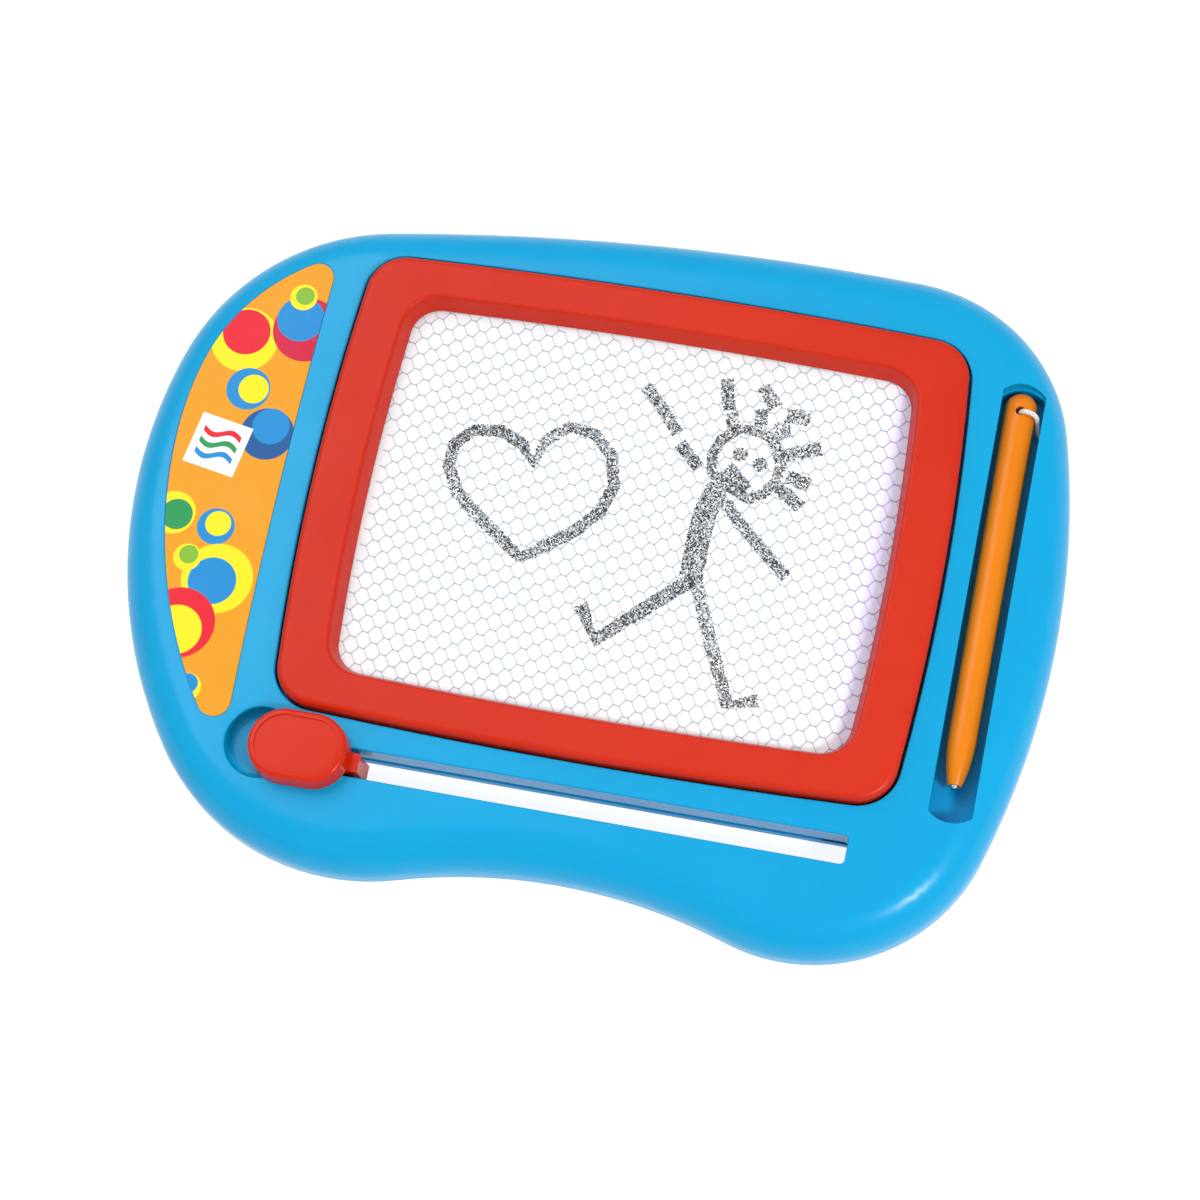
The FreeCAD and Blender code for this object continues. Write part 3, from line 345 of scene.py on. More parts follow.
def moulding(node, body, material, crease=34):
    """Smooth copy of a CAD node with its sharp edges kept, in its own finish."""
    shell = bmesh.new()
    shell.from_mesh(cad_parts[node].data)
    bmesh.ops.remove_doubles(shell, verts=shell.verts, dist=0.002 * MM)
    for face in shell.faces:
        face.smooth = True
    for edge in shell.edges:
        edge.smooth = edge.calc_face_angle(0.0) < math.radians(crease)
    mesh = bpy.data.meshes.new(f"{node}_moulding")
    shell.to_mesh(mesh)
    shell.free()
    for attribute in [a for a in mesh.attributes if "normal" in a.name]:
        mesh.attributes.remove(attribute)
    piece = finished(f"{node}_moulding", mesh, material)
    weights = piece.modifiers.new("flat_faces_rule", "WEIGHTED_NORMAL")
    weights.keep_sharp = True
    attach(piece, body)
    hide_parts(node)
    return piece


def moulded_plastic(name, colour, worn, roughness, grain=0.006, scuff=0.08):
    """Injection-moulded plastic: slight streaks in its colour, fine grain, and scuffed gloss."""
    material, wire, shader = new_finish(name, roughness)
    shader.inputs["Specular IOR Level"].default_value = PLASTIC_SHINE
    place = local(wire)
    streaks = wire.noise(14.0, 3.0, place)
    flow = wire.noise(90.0, 2.0, place)
    share = (streaks * 0.7 + flow * 0.3).ramp(0.35, 0.68)
    plug(share.tint(colour, worn), shader, "Base Color")
    patches = wire.noise(38.0, 5.0, place)
    plug(patches.ramp(0.45, 0.8) * scuff + roughness, shader, "Roughness")
    pores = wire.noise(2600.0, 1.0, place)
    ripple = wire.noise(130.0, 1.0, place)
    plug((pores + ripple * 2.0).bump(grain * MM), shader, "Normal")
    return material


blue_gloss = moulded_plastic("casing_blue_gloss", BLUE, DEEP_BLUE, 0.24, grain=0.008)
moulding("front_casing", "casing", blue_gloss)


# ---------------------------------------------------------------- back cover
# Flat moulded plate in the same blue, with a fine spark-eroded texture.
# It closes the casing and is screwed on from behind.

blue_satin = moulded_plastic("cover_blue_satin", rgba(0.003, 0.30, 0.58), rgba(0.003, 0.27, 0.55),
                             0.42, grain=0.03)
moulding("back_cover", "casing", blue_satin)


# ---------------------------------------------------------------- screws
# Zinc-plated steel self-tapping screws with a cross recess in a coned head.
# Driven upwards from behind, they hold the cover, the frame, the knob and the eraser's bar.

COVER_SCREWS = [(-94.0, 80.0), (-124.0, 2.0), (-103.5, -76.0), (0.0, -87.0), (104.0, -85.0),
                (103.0, 90.0), (4.0, 95.4)]
FRAME_SCREWS = [(98.0, 57.0), (98.0, -33.0), (-78.0, 57.0), (-78.0, -33.0), (68.0, 79.6),
                (10.0, 79.6), (-48.0, 79.6)]
KNOB_SCREWS = [(-77.6, -73.75), (-61.6, -73.75)]
ARM_SCREWS = [(-61.0, -46.5), (-61.0, -37.5)]
HEAD_CONE = 0.8
RECESS_LONG = 1.1
RECESS_SHORT = 0.26
RECESS_DROP = 0.95


def screw_finish():
    material, wire, shader = new_finish("zinc_plate", 0.32)
    place = local(wire)
    stain = wire.noise(700.0, 4.0, place)
    plug(stain.ramp(0.35, 0.75).tint(rgba(0.62, 0.62, 0.63), rgba(0.44, 0.42, 0.38)), shader,
         "Base Color")
    plug(stain * 0.25 + 0.22, shader, "Roughness")
    shader.inputs["Metallic"].default_value = 1.0
    turning = wire.noise(5200.0, 1.0, place)
    plug(turning.bump(0.01 * MM), shader, "Normal")
    return material


def geometry_tree(name, sizes):
    """Empty Geometry Nodes tree with a named input for each size, and wires to its inputs."""
    tree = bpy.data.node_groups.new(name, "GeometryNodeTree")
    tree.interface.new_socket("Geometry", in_out="OUTPUT", socket_type="NodeSocketGeometry")
    tree.interface.new_socket("Geometry", in_out="INPUT", socket_type="NodeSocketGeometry")
    for size, kind in sizes.items():
        tree.interface.new_socket(size, in_out="INPUT", socket_type=f"NodeSocket{kind}")
    given = tree.nodes.new("NodeGroupInput")
    wires = {socket.name: Wire(tree, socket) for socket in given.outputs if socket.name}
    return tree, wires


def close_tree(tree, geometry, material):
    """Realize Instances and Set Material, then the tree's output."""
    real = geometry.node("GeometryNodeRealizeInstances", {}, {"Geometry": geometry})
    painted = real.node("GeometryNodeSetMaterial", {}, {"Geometry": real, "Material": material})
    out = tree.nodes.new("NodeGroupOutput")
    tree.links.new(painted.socket, out.inputs[0])


def grown(name, carrier, tree, values):
    """Run a tree on a carrier mesh and return the result as a plain mesh."""
    worker = bpy.data.objects.new(name, carrier)
    bpy.context.scene.collection.objects.link(worker)
    modifier = worker.modifiers.new(name, "NODES")
    modifier.node_group = tree
    for item in tree.interface.items_tree:
        if item.in_out == "INPUT" and item.name in values:
            modifier[item.identifier] = values[item.name]
    bpy.context.view_layer.update()
    seen = worker.evaluated_get(bpy.context.evaluated_depsgraph_get())
    mesh = bpy.data.meshes.new_from_object(seen)
    worker.modifiers.remove(modifier)
    bpy.data.objects.remove(worker)
    mesh.name = name
    return mesh


def moved(geometry, place=(0.0, 0.0, 0.0), turn=(0.0, 0.0, 0.0)):
    return geometry.node("GeometryNodeTransform", {},
                         {"Geometry": geometry, "Translation": place, "Rotation": turn})


def joined(*geometries):
    made = geometries[0].tree.nodes.new("GeometryNodeJoinGeometry")
    for geometry in geometries:
        geometry.tree.links.new(geometry.socket, made.inputs[0])
    return Wire(geometries[0].tree, made.outputs[0])


def vector(wire, x=0.0, y=0.0, z=0.0):
    return wire.node("ShaderNodeCombineXYZ", {}, {0: x, 1: y, 2: z})


def screw_tree():
    """A screw on every point: coned head below the point, cross recess, shank above."""
    tree, given = geometry_tree("screws", {
        "Head Radius": "Float", "Head Thickness": "Float", "Shank Radius": "Float",
        "Length": "Float", "Finish": "Material"})
    start = given["Geometry"]
    radius, thick = given["Head Radius"], given["Head Thickness"]
    head = start.node("GeometryNodeMeshCone", {"fill_type": "NGON"}, {
        "Vertices": 28, "Radius Top": radius, "Radius Bottom": radius * HEAD_CONE,
        "Depth": thick})
    head = moved(head, vector(start, 0.0, 0.0, thick * -1.0))
    cutters = []
    for long, short in ((RECESS_LONG, RECESS_SHORT), (RECESS_SHORT, RECESS_LONG)):
        size = vector(start, radius * long, radius * short, thick)
        bar = start.node("GeometryNodeMeshCube", {}, {"Size": size})
        cutters.append(moved(bar, vector(start, 0.0, 0.0, thick * -RECESS_DROP)))
    crossed = start.node("GeometryNodeMeshBoolean", {"operation": "UNION"}, {1: cutters[0]})
    start.tree.links.new(cutters[1].socket, crossed.socket.node.inputs[1])
    driven = start.node("GeometryNodeMeshBoolean", {"operation": "DIFFERENCE"},
                        {0: head, 1: crossed})
    shank = start.node("GeometryNodeMeshCylinder", {"fill_type": "NGON"}, {
        "Vertices": 20, "Radius": given["Shank Radius"], "Depth": given["Length"]})
    shank = moved(shank, vector(start, 0.0, 0.0, given["Length"] * 0.5))
    screw = joined(driven, shank)
    set_out = start.node("GeometryNodeInstanceOnPoints", {},
                         {"Points": start, "Instance": screw})
    close_tree(tree, set_out, given["Finish"])
    return tree


def screw_set(node, body, places, seat, head, shank):
    """Screws at their places, as one piece. Head and shank are (radius, length)."""
    carrier = bpy.data.meshes.new(f"{node}_places")
    carrier.from_pydata([(x * MM, y * MM, seat * MM) for x, y in places], [], [])
    mesh = grown(f"{node}_driven", carrier, screws_tree, {
        "Head Radius": head[0] * MM, "Head Thickness": head[1] * MM,
        "Shank Radius": shank[0] * MM, "Length": shank[1] * MM, "Finish": zinc})
    piece = finished(f"{node}_driven", mesh, zinc)
    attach(piece, body)
    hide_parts(node)


zinc = screw_finish()
screws_tree = screw_tree()
screw_set("cover_screws", "casing", COVER_SCREWS, 4.0, (2.6, 1.6), (1.3, 8.0))
screw_set("bezel_screws", "casing", FRAME_SCREWS, 8.2, (2.3, 1.4), (1.1, 7.0))
screw_set("knob_screws", "eraser", KNOB_SCREWS, 12.0, (2.3, 1.4), (1.1, 9.0))
screw_set("arm_screws", "eraser", ARM_SCREWS, 5.5, (2.3, 0.9), (1.0, 1.5))


# ---------------------------------------------------------------- red frame
# Orange-red moulding with a fine satin grain, whose window slopes down to the screen.
# It sits in the casing's well and is screwed down from behind.

RED = rgba(0.58, 0.020, 0.004)
RUBBED_RED = rgba(0.62, 0.026, 0.006)

red_satin = moulded_plastic("frame_red_satin", RED, RUBBED_RED, 0.36, grain=0.02, scuff=0.1)
moulding("bezel", "casing", red_satin)


# ---------------------------------------------------------------- screen
# Sealed magnetic screen: a foam ring, a back sheet, a honeycomb of paper walls filled with white
# fluid, and a clear film. Dark iron powder under the film is what the pen has drawn.

COMB_HALF_WIDTH = 79.1 * MM
COMB_HALF_HEIGHT = 60.3 * MM
COLUMN_STEP = 3.37 * MM
ROW_STEP = 5.05 * MM
CELL_FLAT = 0.85 * MM
CELL_LEAN = 0.01
CELL_SLOPE = -0.15
DOUBLED_WALL = 0.30 * MM
SINGLE_WALL = 0.24 * MM
WALL_CLEARANCE = 0.1 * MM
SPARE_CELLS = 13.0
FLUID_DROP = 0.25 * MM


def foam_finish():
    material, wire, shader = new_finish("gasket_foam", 0.9)
    cells = wire.noise(2400.0, 3.0, local(wire))
    plug(cells.tint(rgba(0.05, 0.05, 0.055), rgba(0.13, 0.13, 0.14)), shader, "Base Color")
    plug(cells.bump(0.1 * MM), shader, "Normal")
    return material


def sheet_finish():
    material, wire, shader = new_finish("back_sheet_white", 0.5)
    haze = wire.noise(60.0, 4.0, local(wire))
    plug(haze.tint(rgba(0.74, 0.75, 0.78), rgba(0.82, 0.82, 0.84)), shader, "Base Color")
    plug(wire.noise(1800.0, 2.0, local(wire)).bump(0.02 * MM), shader, "Normal")
    return material


def fluid_finish():
    """Milky white, a little uneven from cell to cell, with a painted lavender shadow at the right."""
    material, wire, shader = new_finish("fluid_white", 0.55)
    place = local(wire)
    cloud = wire.noise(260.0, 2.0, place)
    drift = wire.noise(18.0, 2.0, place)
    shade = (cloud * 0.6 + drift * 0.4).ramp(0.35, 0.7)
    milk = shade.tint(rgba(0.87, 0.91, 0.94), rgba(0.94, 0.955, 0.96))
    # Painted shadow: the frame's shadow along the screen's right edge, put into the base colour as lavender.
    edge = split(place)[0].ramp(0.081, 0.084)
    plug(edge.tint(milk, rgba(0.74, 0.72, 0.90)), shader, "Base Color")
    plug(cloud.bump(0.05 * MM), shader, "Normal")
    return material


def wall_finish():
    """Blue-grey paper walls, the doubled ones a little darker, with a painted lavender shadow at right."""
    material, wire, shader = new_finish("honeycomb_paper", 0.7)
    doubled = wire.node("ShaderNodeAttribute", {"attribute_name": "doubled"}, {}, output=2)
    place = local(wire)
    # Painted shadow: mask and lavender, shaded copies of the wall colours for the frame's shadow at the
    # right.
    lavender = split(place)[0].ramp(0.072, 0.084)
    plain = doubled.tint(rgba(0.50, 0.60, 0.66), rgba(0.45, 0.53, 0.58))
    edge = doubled.tint(rgba(0.52, 0.46, 0.66), rgba(0.42, 0.36, 0.58))
    plug(lavender.tint(plain, edge), shader, "Base Color")
    plug(wire.noise(1500.0, 2.0, place).bump(0.03 * MM), shader, "Normal")
    return material


def film_finish():
    material, wire, shader = new_finish("film_clear", 0.12)
    shader.inputs["Base Color"].default_value = rgba(0.96, 0.97, 1.0)
    smears = wire.noise(24.0, 4.0, local(wire))
    plug(smears.ramp(0.3, 0.8) * 0.015 + 0.012, shader, "Alpha")
    plug(smears * 0.1 + 0.08, shader, "Roughness")
    return material


def honeycomb_tree():
    """Hexagonal cells as three thin walls each, on a slightly sheared lattice."""
    tree, given = geometry_tree("honeycomb", {
        "Half Width": "Float", "Half Height": "Float", "Column Step": "Float",
        "Row Step": "Float", "Flat": "Float", "Doubled Wall": "Float", "Single Wall": "Float",
        "Depth": "Float", "Lean": "Float", "Slope": "Float", "Finish": "Material"})
    start = given["Geometry"]
    column, row, flat = given["Column Step"], given["Row Step"], given["Flat"]
    columns = (given["Half Width"] * 2.0 / column).maths("CEIL") + SPARE_CELLS
    rows = (given["Half Height"] * 2.0 / row).maths("CEIL") + SPARE_CELLS
    grid = start.node("GeometryNodeMeshGrid", {}, {
        "Size X": (columns - 1.0) * column, "Size Y": (rows - 1.0) * row,
        "Vertices X": columns, "Vertices Y": rows})
    place = start.node("GeometryNodeInputPosition", {}, {})
    x, y, _ = split(place)
    number = ((x + (columns - 1.0) * column * 0.5) / column).maths("ROUND")
    odd = number.maths("MODULO", 2.0)
    lifted = start.node("GeometryNodeSetPosition", {}, {
        "Geometry": grid, "Offset": vector(start, 0.0, odd * row * 0.5, 0.0)})
    x, y, z = split(place)
    far_x = x + y * given["Lean"]
    far_y = y + x * given["Slope"]
    beyond_x = far_x.maths("ABSOLUTE") > given["Half Width"]
    beyond = beyond_x.maths("MAXIMUM", far_y.maths("ABSOLUTE") > given["Half Height"])
    kept = start.node("GeometryNodeDeleteGeometry", {"domain": "POINT"},
                      {"Geometry": lifted, "Selection": beyond})
    lean = column - flat * 2.0
    length = (lean * lean + row * row * 0.25).maths("SQRT")
    angle = (row * 0.5).maths("ARCTAN2", lean)
    top = start.node("GeometryNodeMeshCube", {}, {
        "Size": vector(start, flat * 2.0 + given["Doubled Wall"] * 0.6, given["Doubled Wall"],
                       given["Depth"])})
    top = moved(top, vector(start, 0.0, row * 0.5, 0.0))
    top = start.node("GeometryNodeStoreNamedAttribute", {"data_type": "FLOAT"}, {
        "Geometry": top, "Name": "doubled", "Value": 1.0})
    slants = []
    for side in (1.0, -1.0):
        wall = start.node("GeometryNodeMeshCube", {}, {
            "Size": vector(start, length, given["Single Wall"], given["Depth"])})
        slants.append(moved(wall, vector(start, flat + lean * 0.5, row * (0.25 * side), 0.0),
                            vector(start, 0.0, 0.0, angle * -side)))
    slanted = joined(*slants)
    slanted = start.node("GeometryNodeStoreNamedAttribute", {"data_type": "FLOAT"}, {
        "Geometry": slanted, "Name": "doubled", "Value": 0.0})
    cells = start.node("GeometryNodeInstanceOnPoints", {},
                       {"Points": kept, "Instance": joined(top, slanted)})
    real = start.node("GeometryNodeRealizeInstances", {}, {"Geometry": cells})
    sheared = start.node("GeometryNodeSetPosition", {}, {
        "Geometry": real, "Position": vector(start, far_x, far_y, z)})
    close_tree(tree, sheared, given["Finish"])
    return tree


def fluid_block():
    """The core's solid with its upper face lowered, so that the walls stand out of it."""
    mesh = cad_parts["screen_core"].data.copy()
    shell = bmesh.new()
    shell.from_mesh(mesh)
    bmesh.ops.remove_doubles(shell, verts=shell.verts, dist=0.002 * MM)
    top = max(vertex.co.z for vertex in shell.verts)
    for vertex in shell.verts:
        if vertex.co.z > top - FLUID_DROP:
            vertex.co.z -= FLUID_DROP
    shell.to_mesh(mesh)
    shell.free()
    for attribute in [a for a in mesh.attributes if "normal" in a.name]:
        mesh.attributes.remove(attribute)
    return mesh


core_low, core_high = (Vector(corner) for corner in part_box("screen_core"))
screen_centre = (core_low + core_high) / 2
fluid = finished("screen_fluid", fluid_block(), fluid_finish())
comb_material = wall_finish()
wall_height = core_high.z - core_low.z - WALL_CLEARANCE
comb_mesh = grown("honeycomb_walls", bpy.data.meshes.new("honeycomb_start"), honeycomb_tree(), {
    "Half Width": COMB_HALF_WIDTH, "Half Height": COMB_HALF_HEIGHT, "Column Step": COLUMN_STEP,
    "Row Step": ROW_STEP, "Flat": CELL_FLAT, "Doubled Wall": DOUBLED_WALL,
    "Single Wall": SINGLE_WALL, "Depth": wall_height, "Lean": CELL_LEAN, "Slope": CELL_SLOPE,
    "Finish": comb_material})
comb_mesh.transform(Matrix.Translation(screen_centre))
comb = finished("honeycomb_walls", comb_mesh, comb_material)
for piece in (fluid, comb):
    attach(piece, "casing")
    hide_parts("screen_core")
moulding("screen_gasket", "casing", foam_finish())
moulding("screen_back_sheet", "casing", sheet_finish())
moulding("screen_front_sheet", "casing", film_finish())


# ---------------------------------------------------------------- drawing
# Iron powder that the pen's magnet has pulled up under the film, in strokes about 4 mm wide.
# They draw a heart and a dancing figure.

HEART = [(-21.4, 27.0), (-25.6, 32.4), (-33.0, 35.4), (-41.0, 34.4), (-46.0, 29.0),
         (-46.2, 22.0), (-42.0, 14.2), (-34.4, 8.0), (-26.4, 2.4), (-19.2, -2.8),
         (-12.4, 2.2), (-4.6, 8.4), (1.2, 15.2), (3.9, 24.0), (1.4, 33.2), (-5.0, 39.2),
         (-12.9, 40.2), (-19.0, 34.8), (-21.4, 27.0)]
HEAD = [(31.8, 33.0), (30.8, 38.5), (32.5, 43.7), (37.1, 48.0), (42.5, 48.3), (47.3, 46.8),
        (49.7, 43.1), (51.5, 38.9), (51.0, 33.7), (48.2, 29.4), (44.2, 26.8), (40.6, 28.1),
        (37.5, 30.1), (31.8, 33.0)]
EYES = [(39.0, 40.2), (45.4, 38.0)]
BODY = [
    ([(7.0, 56.8), (12.4, 51.5), (19.4, 43.7)], 3.6), ([(20.6, 40.6), (27.6, 33.9)], 3.8),
    ([(34.6, 29.6), (32.3, 20.9), (31.8, 13.1), (31.8, 0.0)], 7.0),
    ([(37.5, 24.5), (44.5, 17.3), (59.4, 4.8)], 3.6),
    ([(33.0, 0.0), (21.6, -10.6), (7.8, -23.8), (1.4, -13.8)], 4.4),
    ([(33.0, 0.0), (41.0, -18.0), (49.6, -36.4), (58.2, -33.6)], 4.0),
]
FACE = [
    (HEAD, 3.3), ([(35.8, 35.6), (39.8, 32.1), (42.9, 29.6)], 4.4),
    ([(30.6, 63.1), (33.1, 53.4)], 4.0), ([(34.0, 52.8), (35.5, 47.9)], 3.8),
    ([(41.8, 62.6), (46.6, 56.6)], 4.4), ([(42.6, 55.4), (43.4, 49.8)], 3.8),
    ([(50.4, 54.6), (57.4, 54.8)], 4.8), ([(48.8, 52.4), (51.2, 47.3)], 4.6),
    ([(62.4, 46.0), (56.9, 44.0), (51.6, 41.6)], 4.2), ([(53.9, 35.6), (60.9, 34.1)], 4.4),
    ([(52.0, 31.9), (59.6, 26.9)], 4.0),
]


HEART_WIDTH = 3.8
EYE_RADIUS = 2.25 * MM
POWDER_HEIGHT = core_high.z - 0.12 * MM
GRAINS_PER_SQUARE_METRE = 1.15e7
GRAIN_RADIUS = 0.21 * MM
POWDER_SEED = 11


def ribbon(shell, points, width, z):
    """Flat strip along a line; neighbouring quads share their corners' cross-cuts."""
    places = [Vector((x * MM, y * MM, 0)) for x, y in points]
    edges = []
    for index, place in enumerate(places):
        before = places[max(index - 1, 0)]
        after = places[min(index + 1, len(places) - 1)]
        if index in (0, len(places) - 1) and places[0] == places[-1]:
            before, after = places[-2], places[1]
        heading = (after - before).normalized()
        aside = Vector((-heading.y, heading.x, 0)) * (width * MM / 2)
        edges.append([shell.verts.new(place + aside * side + Vector((0, 0, z)))
                      for side in (-1, 1)])
    for (right, left), (next_right, next_left) in zip(edges, edges[1:]):
        shell.faces.new((right, next_right, next_left, left))


def strokes(name, lines, spots=()):
    """Some strokes and round spots of the drawing as one flat mesh."""
    shell = bmesh.new()
    for points, width in lines:
        ribbon(shell, points, width, POWDER_HEIGHT)
    for x, y in spots:
        place = Matrix.Translation((x * MM, y * MM, POWDER_HEIGHT))
        bmesh.ops.create_circle(shell, cap_ends=True, radius=EYE_RADIUS, segments=20, matrix=place)
    mesh = bpy.data.meshes.new(name)
    shell.to_mesh(mesh)
    shell.free()
    return mesh


def powder_tree():
    """Grains of mixed size scattered over the strokes, thinner in patches."""
    tree, given = geometry_tree("iron_powder", {
        "Grains per Square Metre": "Float", "Grain Radius": "Float", "Seed": "Int",
        "Finish": "Material"})
    start = given["Geometry"]
    place = start.node("GeometryNodeInputPosition", {}, {})
    patch = start.noise(420.0, 1.0, place).ramp(0.34, 0.62) * 0.6 + 0.4
    sown = start.node("GeometryNodeDistributePointsOnFaces", {"distribute_method": "RANDOM"}, {
        "Mesh": start, "Density": given["Grains per Square Metre"] * patch,
        "Seed": given["Seed"]})
    grain = start.node("GeometryNodeMeshUVSphere", {}, {
        "Segments": 4, "Rings": 2, "Radius": given["Grain Radius"]})
    sizes = start.node("FunctionNodeRandomValue", {"data_type": "FLOAT_VECTOR"}, {
        0: (0.5, 0.5, 0.35), 1: (1.5, 1.3, 0.6), "Seed": given["Seed"] + 1.0})
    turns = start.node("FunctionNodeRandomValue", {"data_type": "FLOAT_VECTOR"}, {
        0: (0.0, 0.0, 0.0), 1: (0.0, 0.0, 6.28), "Seed": given["Seed"] + 2.0})
    grains = start.node("GeometryNodeInstanceOnPoints", {}, {
        "Points": sown, "Instance": grain, "Scale": sizes, "Rotation": turns})
    close_tree(tree, grains, given["Finish"])
    return tree


def iron_finish():
    material, wire, shader = new_finish("iron_powder", 0.6)
    speckle = wire.noise(1400.0, 1.0, local(wire))
    plug(speckle.ramp(0.35, 0.75).tint(rgba(0.003, 0.003, 0.004), rgba(0.025, 0.025, 0.03)),
         shader, "Base Color")
    plug(speckle * 0.3 + 0.4, shader, "Roughness")
    shader.inputs["Specular IOR Level"].default_value = 0.1
    return material


iron = iron_finish()
powder_nodes = powder_tree()
for name, lines, spots in (("heart_powder", [(HEART, HEART_WIDTH)], ()), ("body_powder", BODY, ()),
                           ("face_powder", FACE, EYES)):
    powder_mesh = grown(name, strokes(name, lines, spots), powder_nodes, {
        "Grains per Square Metre": GRAINS_PER_SQUARE_METRE, "Grain Radius": GRAIN_RADIUS,
        "Seed": POWDER_SEED, "Finish": iron})
    powder = finished(name, powder_mesh, iron)
    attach(powder, "casing")


# ---------------------------------------------------------------- label
# Printed sticker in the recess on the left: overlapping coloured discs on orange, and a plain
# white card with three wavy stripes.

YELLOW_INK = rgba(1.0, 0.78, 0.0)
RED_INK = rgba(0.78, 0.0, 0.02)
CRIMSON_INK = rgba(0.62, 0.0, 0.04)
BLUE_INK = rgba(0.0, 0.25, 0.62)
NAVY_INK = rgba(0.0, 0.09, 0.30)
LEAF_INK = rgba(0.22, 0.48, 0.03)
GREEN_INK = rgba(0.01, 0.30, 0.08)
CARD_WHITE = rgba(0.92, 0.92, 0.90)
DISCS = [
    (-115.3, 49.8, 10.3, YELLOW_INK), (-115.3, 52.3, 7.3, RED_INK),
    (-97.4, 56.0, 10.3, CRIMSON_INK), (-99.9, 59.1, 7.2, BLUE_INK),
    (-100.6, 66.2, 4.2, YELLOW_INK), (-100.2, 66.7, 2.9, LEAF_INK),
    (-110.6, 34.4, 6.7, BLUE_INK), (-109.0, 34.6, 4.6, YELLOW_INK),
    (-101.7, 21.2, 8.2, NAVY_INK), (-101.1, 23.8, 5.7, BLUE_INK),
    (-123.8, -7.8, 6.7, YELLOW_INK), (-122.7, -8.2, 4.8, GREEN_INK),
    (-110.2, -10.0, 5.7, BLUE_INK), (-109.7, -9.0, 3.9, YELLOW_INK),
    (-106.1, -25.8, 10.8, YELLOW_INK), (-107.4, -26.8, 7.3, BLUE_INK),
    (-116.5, -20.8, 4.2, YELLOW_INK), (-116.2, -19.9, 2.9, LEAF_INK),
    (-114.2, -41.1, 10.9, RED_INK), (-114.4, -43.3, 7.6, YELLOW_INK),
    (-107.1, -59.9, 4.2, YELLOW_INK), (-107.1, -58.8, 3.0, BLUE_INK),
]
CARD_CENTRE = (-115.6, 15.4)
CARD_HALF = 8.2
CARD_TURN = math.radians(-10)
STRIPE_SWING = 1.1 * MM
STRIPE_RADIANS_PER_MM = 0.55
PRINT_BLUR = 0.08
CARD_STRIPES = [(3.6, RED_INK), (0.0, GREEN_INK), (-3.6, BLUE_INK)]


def label_finish():
    material, wire, shader = new_finish("label_print", 0.3)
    shader.inputs["Specular IOR Level"].default_value = PLASTIC_SHINE
    place = local(wire)
    x, y, _ = split(place)
    ink = wire.noise(500.0, 2.0, place).tint(rgba(0.80, 0.32, 0.0005), rgba(0.84, 0.34, 0.001))
    for disc_x, disc_y, radius, colour in DISCS:
        across, along = x - disc_x * MM, y - disc_y * MM
        reach = (across * across + along * along).maths("SQRT")
        ink = reach.ramp((radius + PRINT_BLUR) * MM, (radius - PRINT_BLUR) * MM).tint(ink, colour)
    across, along = x - CARD_CENTRE[0] * MM, y - CARD_CENTRE[1] * MM
    turned_x = across * math.cos(CARD_TURN) + along * math.sin(CARD_TURN)
    turned_y = along * math.cos(CARD_TURN) - across * math.sin(CARD_TURN)
    far_x = turned_x.maths("ABSOLUTE")
    far = far_x.maths("MAXIMUM", turned_y.maths("ABSOLUTE"))
    ink = far.ramp((CARD_HALF + PRINT_BLUR) * MM, (CARD_HALF - PRINT_BLUR) * MM).tint(
        ink, CARD_WHITE)
    for offset, colour in CARD_STRIPES:
        wave = (turned_x / MM * STRIPE_RADIANS_PER_MM).maths("SINE") * STRIPE_SWING
        off = (turned_y - offset * MM - wave).maths("ABSOLUTE")
        stripe = off.ramp(0.95 * MM, 0.8 * MM) * far_x.ramp(6.1 * MM, 5.9 * MM)
        ink = stripe.tint(ink, colour)
    plug(ink, shader, "Base Color")
    wear = wire.noise(45.0, 4.0, place)
    plug(wear * 0.2 + 0.18, shader, "Roughness")
    plug(wire.noise(1200.0, 2.0, place).bump(0.004 * MM), shader, "Normal")
    return material


moulding("label_sticker", "casing", label_finish())


# ---------------------------------------------------------------- eraser
# Glossy red knob screwed to an arm that reaches through the slot, and under the screen a flat
# bar with a strip of flexible magnet in its groove.

knob_gloss = moulded_plastic("knob_red_gloss", rgba(0.62, 0.018, 0.0005), rgba(0.66, 0.022, 0.001),
                             0.2, grain=0.008, scuff=0.06)
moulding("slider_knob", "eraser", knob_gloss)
moulding("slider_arm", "eraser", knob_gloss)
bar_satin = moulded_plastic("bar_white_satin", rgba(0.66, 0.66, 0.62), rgba(0.58, 0.58, 0.54),
                            0.45, grain=0.02)
moulding("eraser_bar", "eraser", bar_satin)


def magnet_finish():
    """Rubber-bonded ferrite: dull black with fine rolled lines along it."""
    material, wire, shader = new_finish("magnet_strip_black", 0.75)
    place = local(wire)
    lines = (split(place)[0] * 9000.0).maths("SINE")
    dust = wire.noise(1900.0, 4.0, place)
    plug(dust.tint(rgba(0.018, 0.017, 0.016), rgba(0.06, 0.055, 0.05)), shader, "Base Color")
    plug((lines * 0.3 + dust).bump(0.03 * MM), shader, "Normal")
    return material


moulding("eraser_magnet", "eraser", magnet_finish())


# ---------------------------------------------------------------- pen
# Slender orange moulding with a domed, drilled end for the string and a tapered nose that holds
# a plated tip with a rod magnet behind it.

pen_gloss = moulded_plastic("pen_orange_gloss", rgba(0.76, 0.20, 0.003), rgba(0.80, 0.22, 0.005),
                            0.26, grain=0.008, scuff=0.08)
moulding("pen_barrel", "pen", pen_gloss, crease=40)


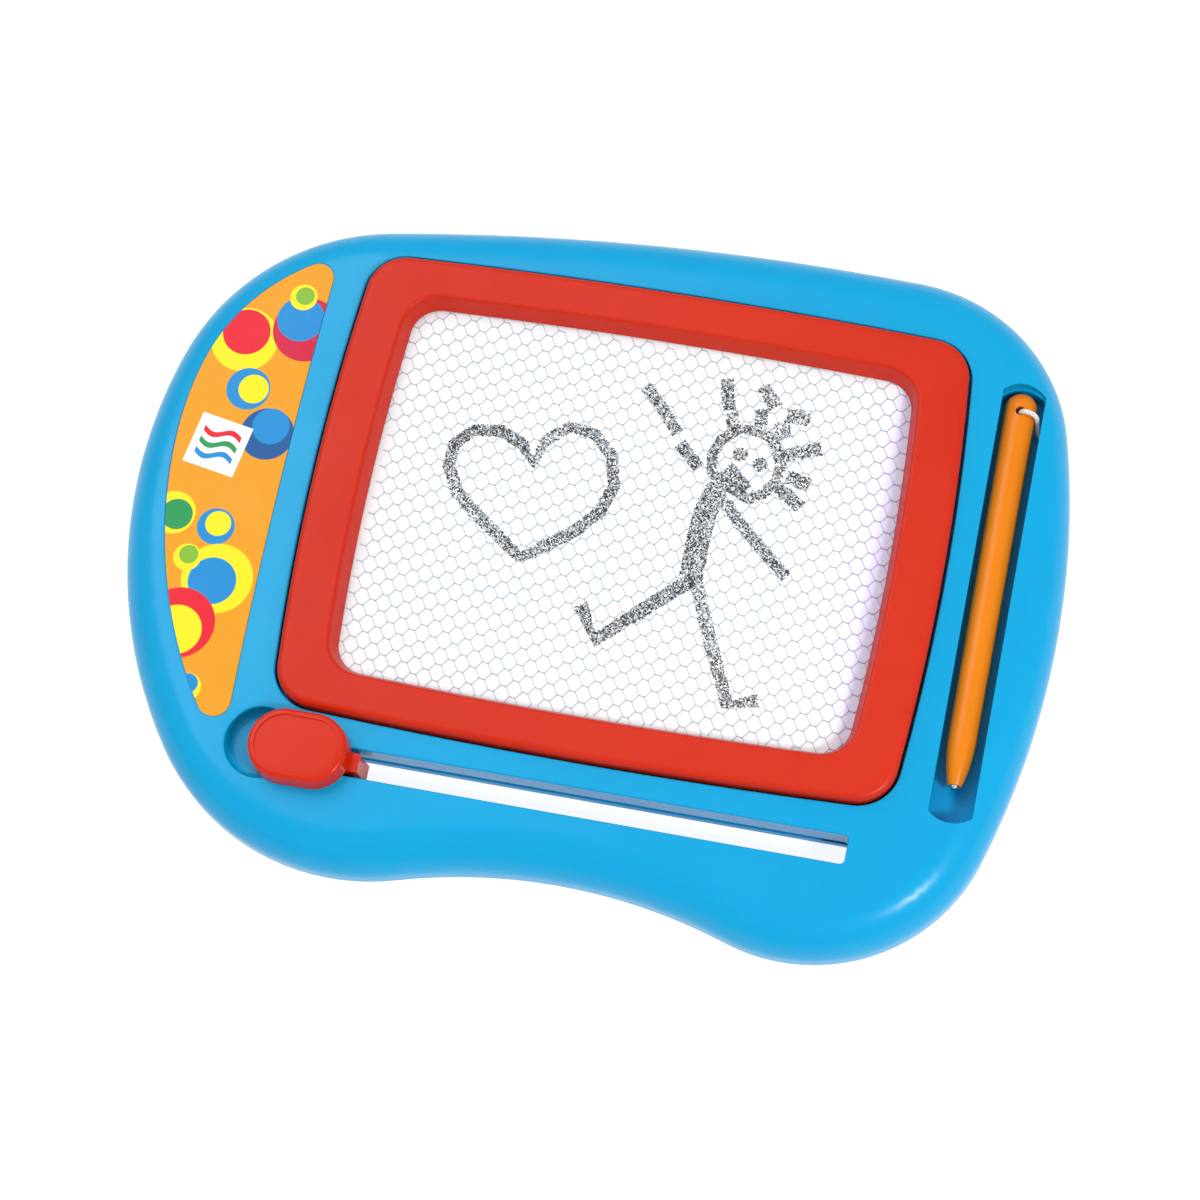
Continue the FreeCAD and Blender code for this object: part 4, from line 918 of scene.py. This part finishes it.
def plating_finish(name, colour, dull, roughness):
    material, wire, shader = new_finish(name, roughness)
    rub = wire.noise(1500.0, 3.0, local(wire))
    plug(rub.tint(colour, dull), shader, "Base Color")
    plug(rub * 0.2 + roughness, shader, "Roughness")
    shader.inputs["Metallic"].default_value = 1.0
    return material


moulding("pen_tip", "pen",
         plating_finish("tip_nickel", rgba(0.76, 0.75, 0.74), rgba(0.55, 0.54, 0.53), 0.12))
moulding("pen_magnet", "pen",
         plating_finish("magnet_nickel", rgba(0.50, 0.50, 0.51), rgba(0.35, 0.35, 0.36), 0.3))


# ---------------------------------------------------------------- table and lights
# The studio: a pale table that glows softly, under an even white sky.
# A big soft box stands on the upper left and a small strong lamp on the right.

def table_finish():
    material, wire, shader = new_finish("table_white", 0.9)
    mottle = wire.noise(3.0, 2.0, local(wire))
    plug(mottle.tint(rgba(0.29, 0.29, 0.29), rgba(0.31, 0.31, 0.31)), shader, "Base Color")
    shader.inputs["Emission Color"].default_value = rgba(1.0, 1.0, 1.0)
    shader.inputs["Emission Strength"].default_value = 0.85
    shader.inputs["Specular IOR Level"].default_value = 0.0
    return material


def soft_box(name, place, size, power):
    data = bpy.data.lights.new(name, "AREA")
    data.shape = "RECTANGLE"
    data.size = size[0]
    data.size_y = size[1]
    data.energy = power
    lamp = bpy.data.objects.new(name, data)
    lamp.location = place
    lamp.rotation_euler = (-Vector(place)).to_track_quat("-Z", "Y").to_euler()
    bpy.context.scene.collection.objects.link(lamp)


table_mesh = bpy.data.meshes.new("table")
table_mesh.from_pydata([(-3, -3, 0), (3, -3, 0), (3, 3, 0), (-3, 3, 0)], [], [(0, 1, 2, 3)])
finished("table", table_mesh, table_finish())
soft_box("soft_box_left", (-0.8, 0.6, 1.5), (1.0, 1.0), 11.0)
soft_box("key_right", (0.72, -0.42, 0.86), (0.18, 0.18), 6.5)
world = bpy.data.worlds.new("studio")
world.use_nodes = True
world.node_tree.nodes["Background"].inputs["Color"].default_value = rgba(0.97, 0.98, 1.0)
world.node_tree.nodes["Background"].inputs["Strength"].default_value = 0.62
bpy.context.scene.world = world
bpy.context.scene.view_settings.view_transform = "Standard"
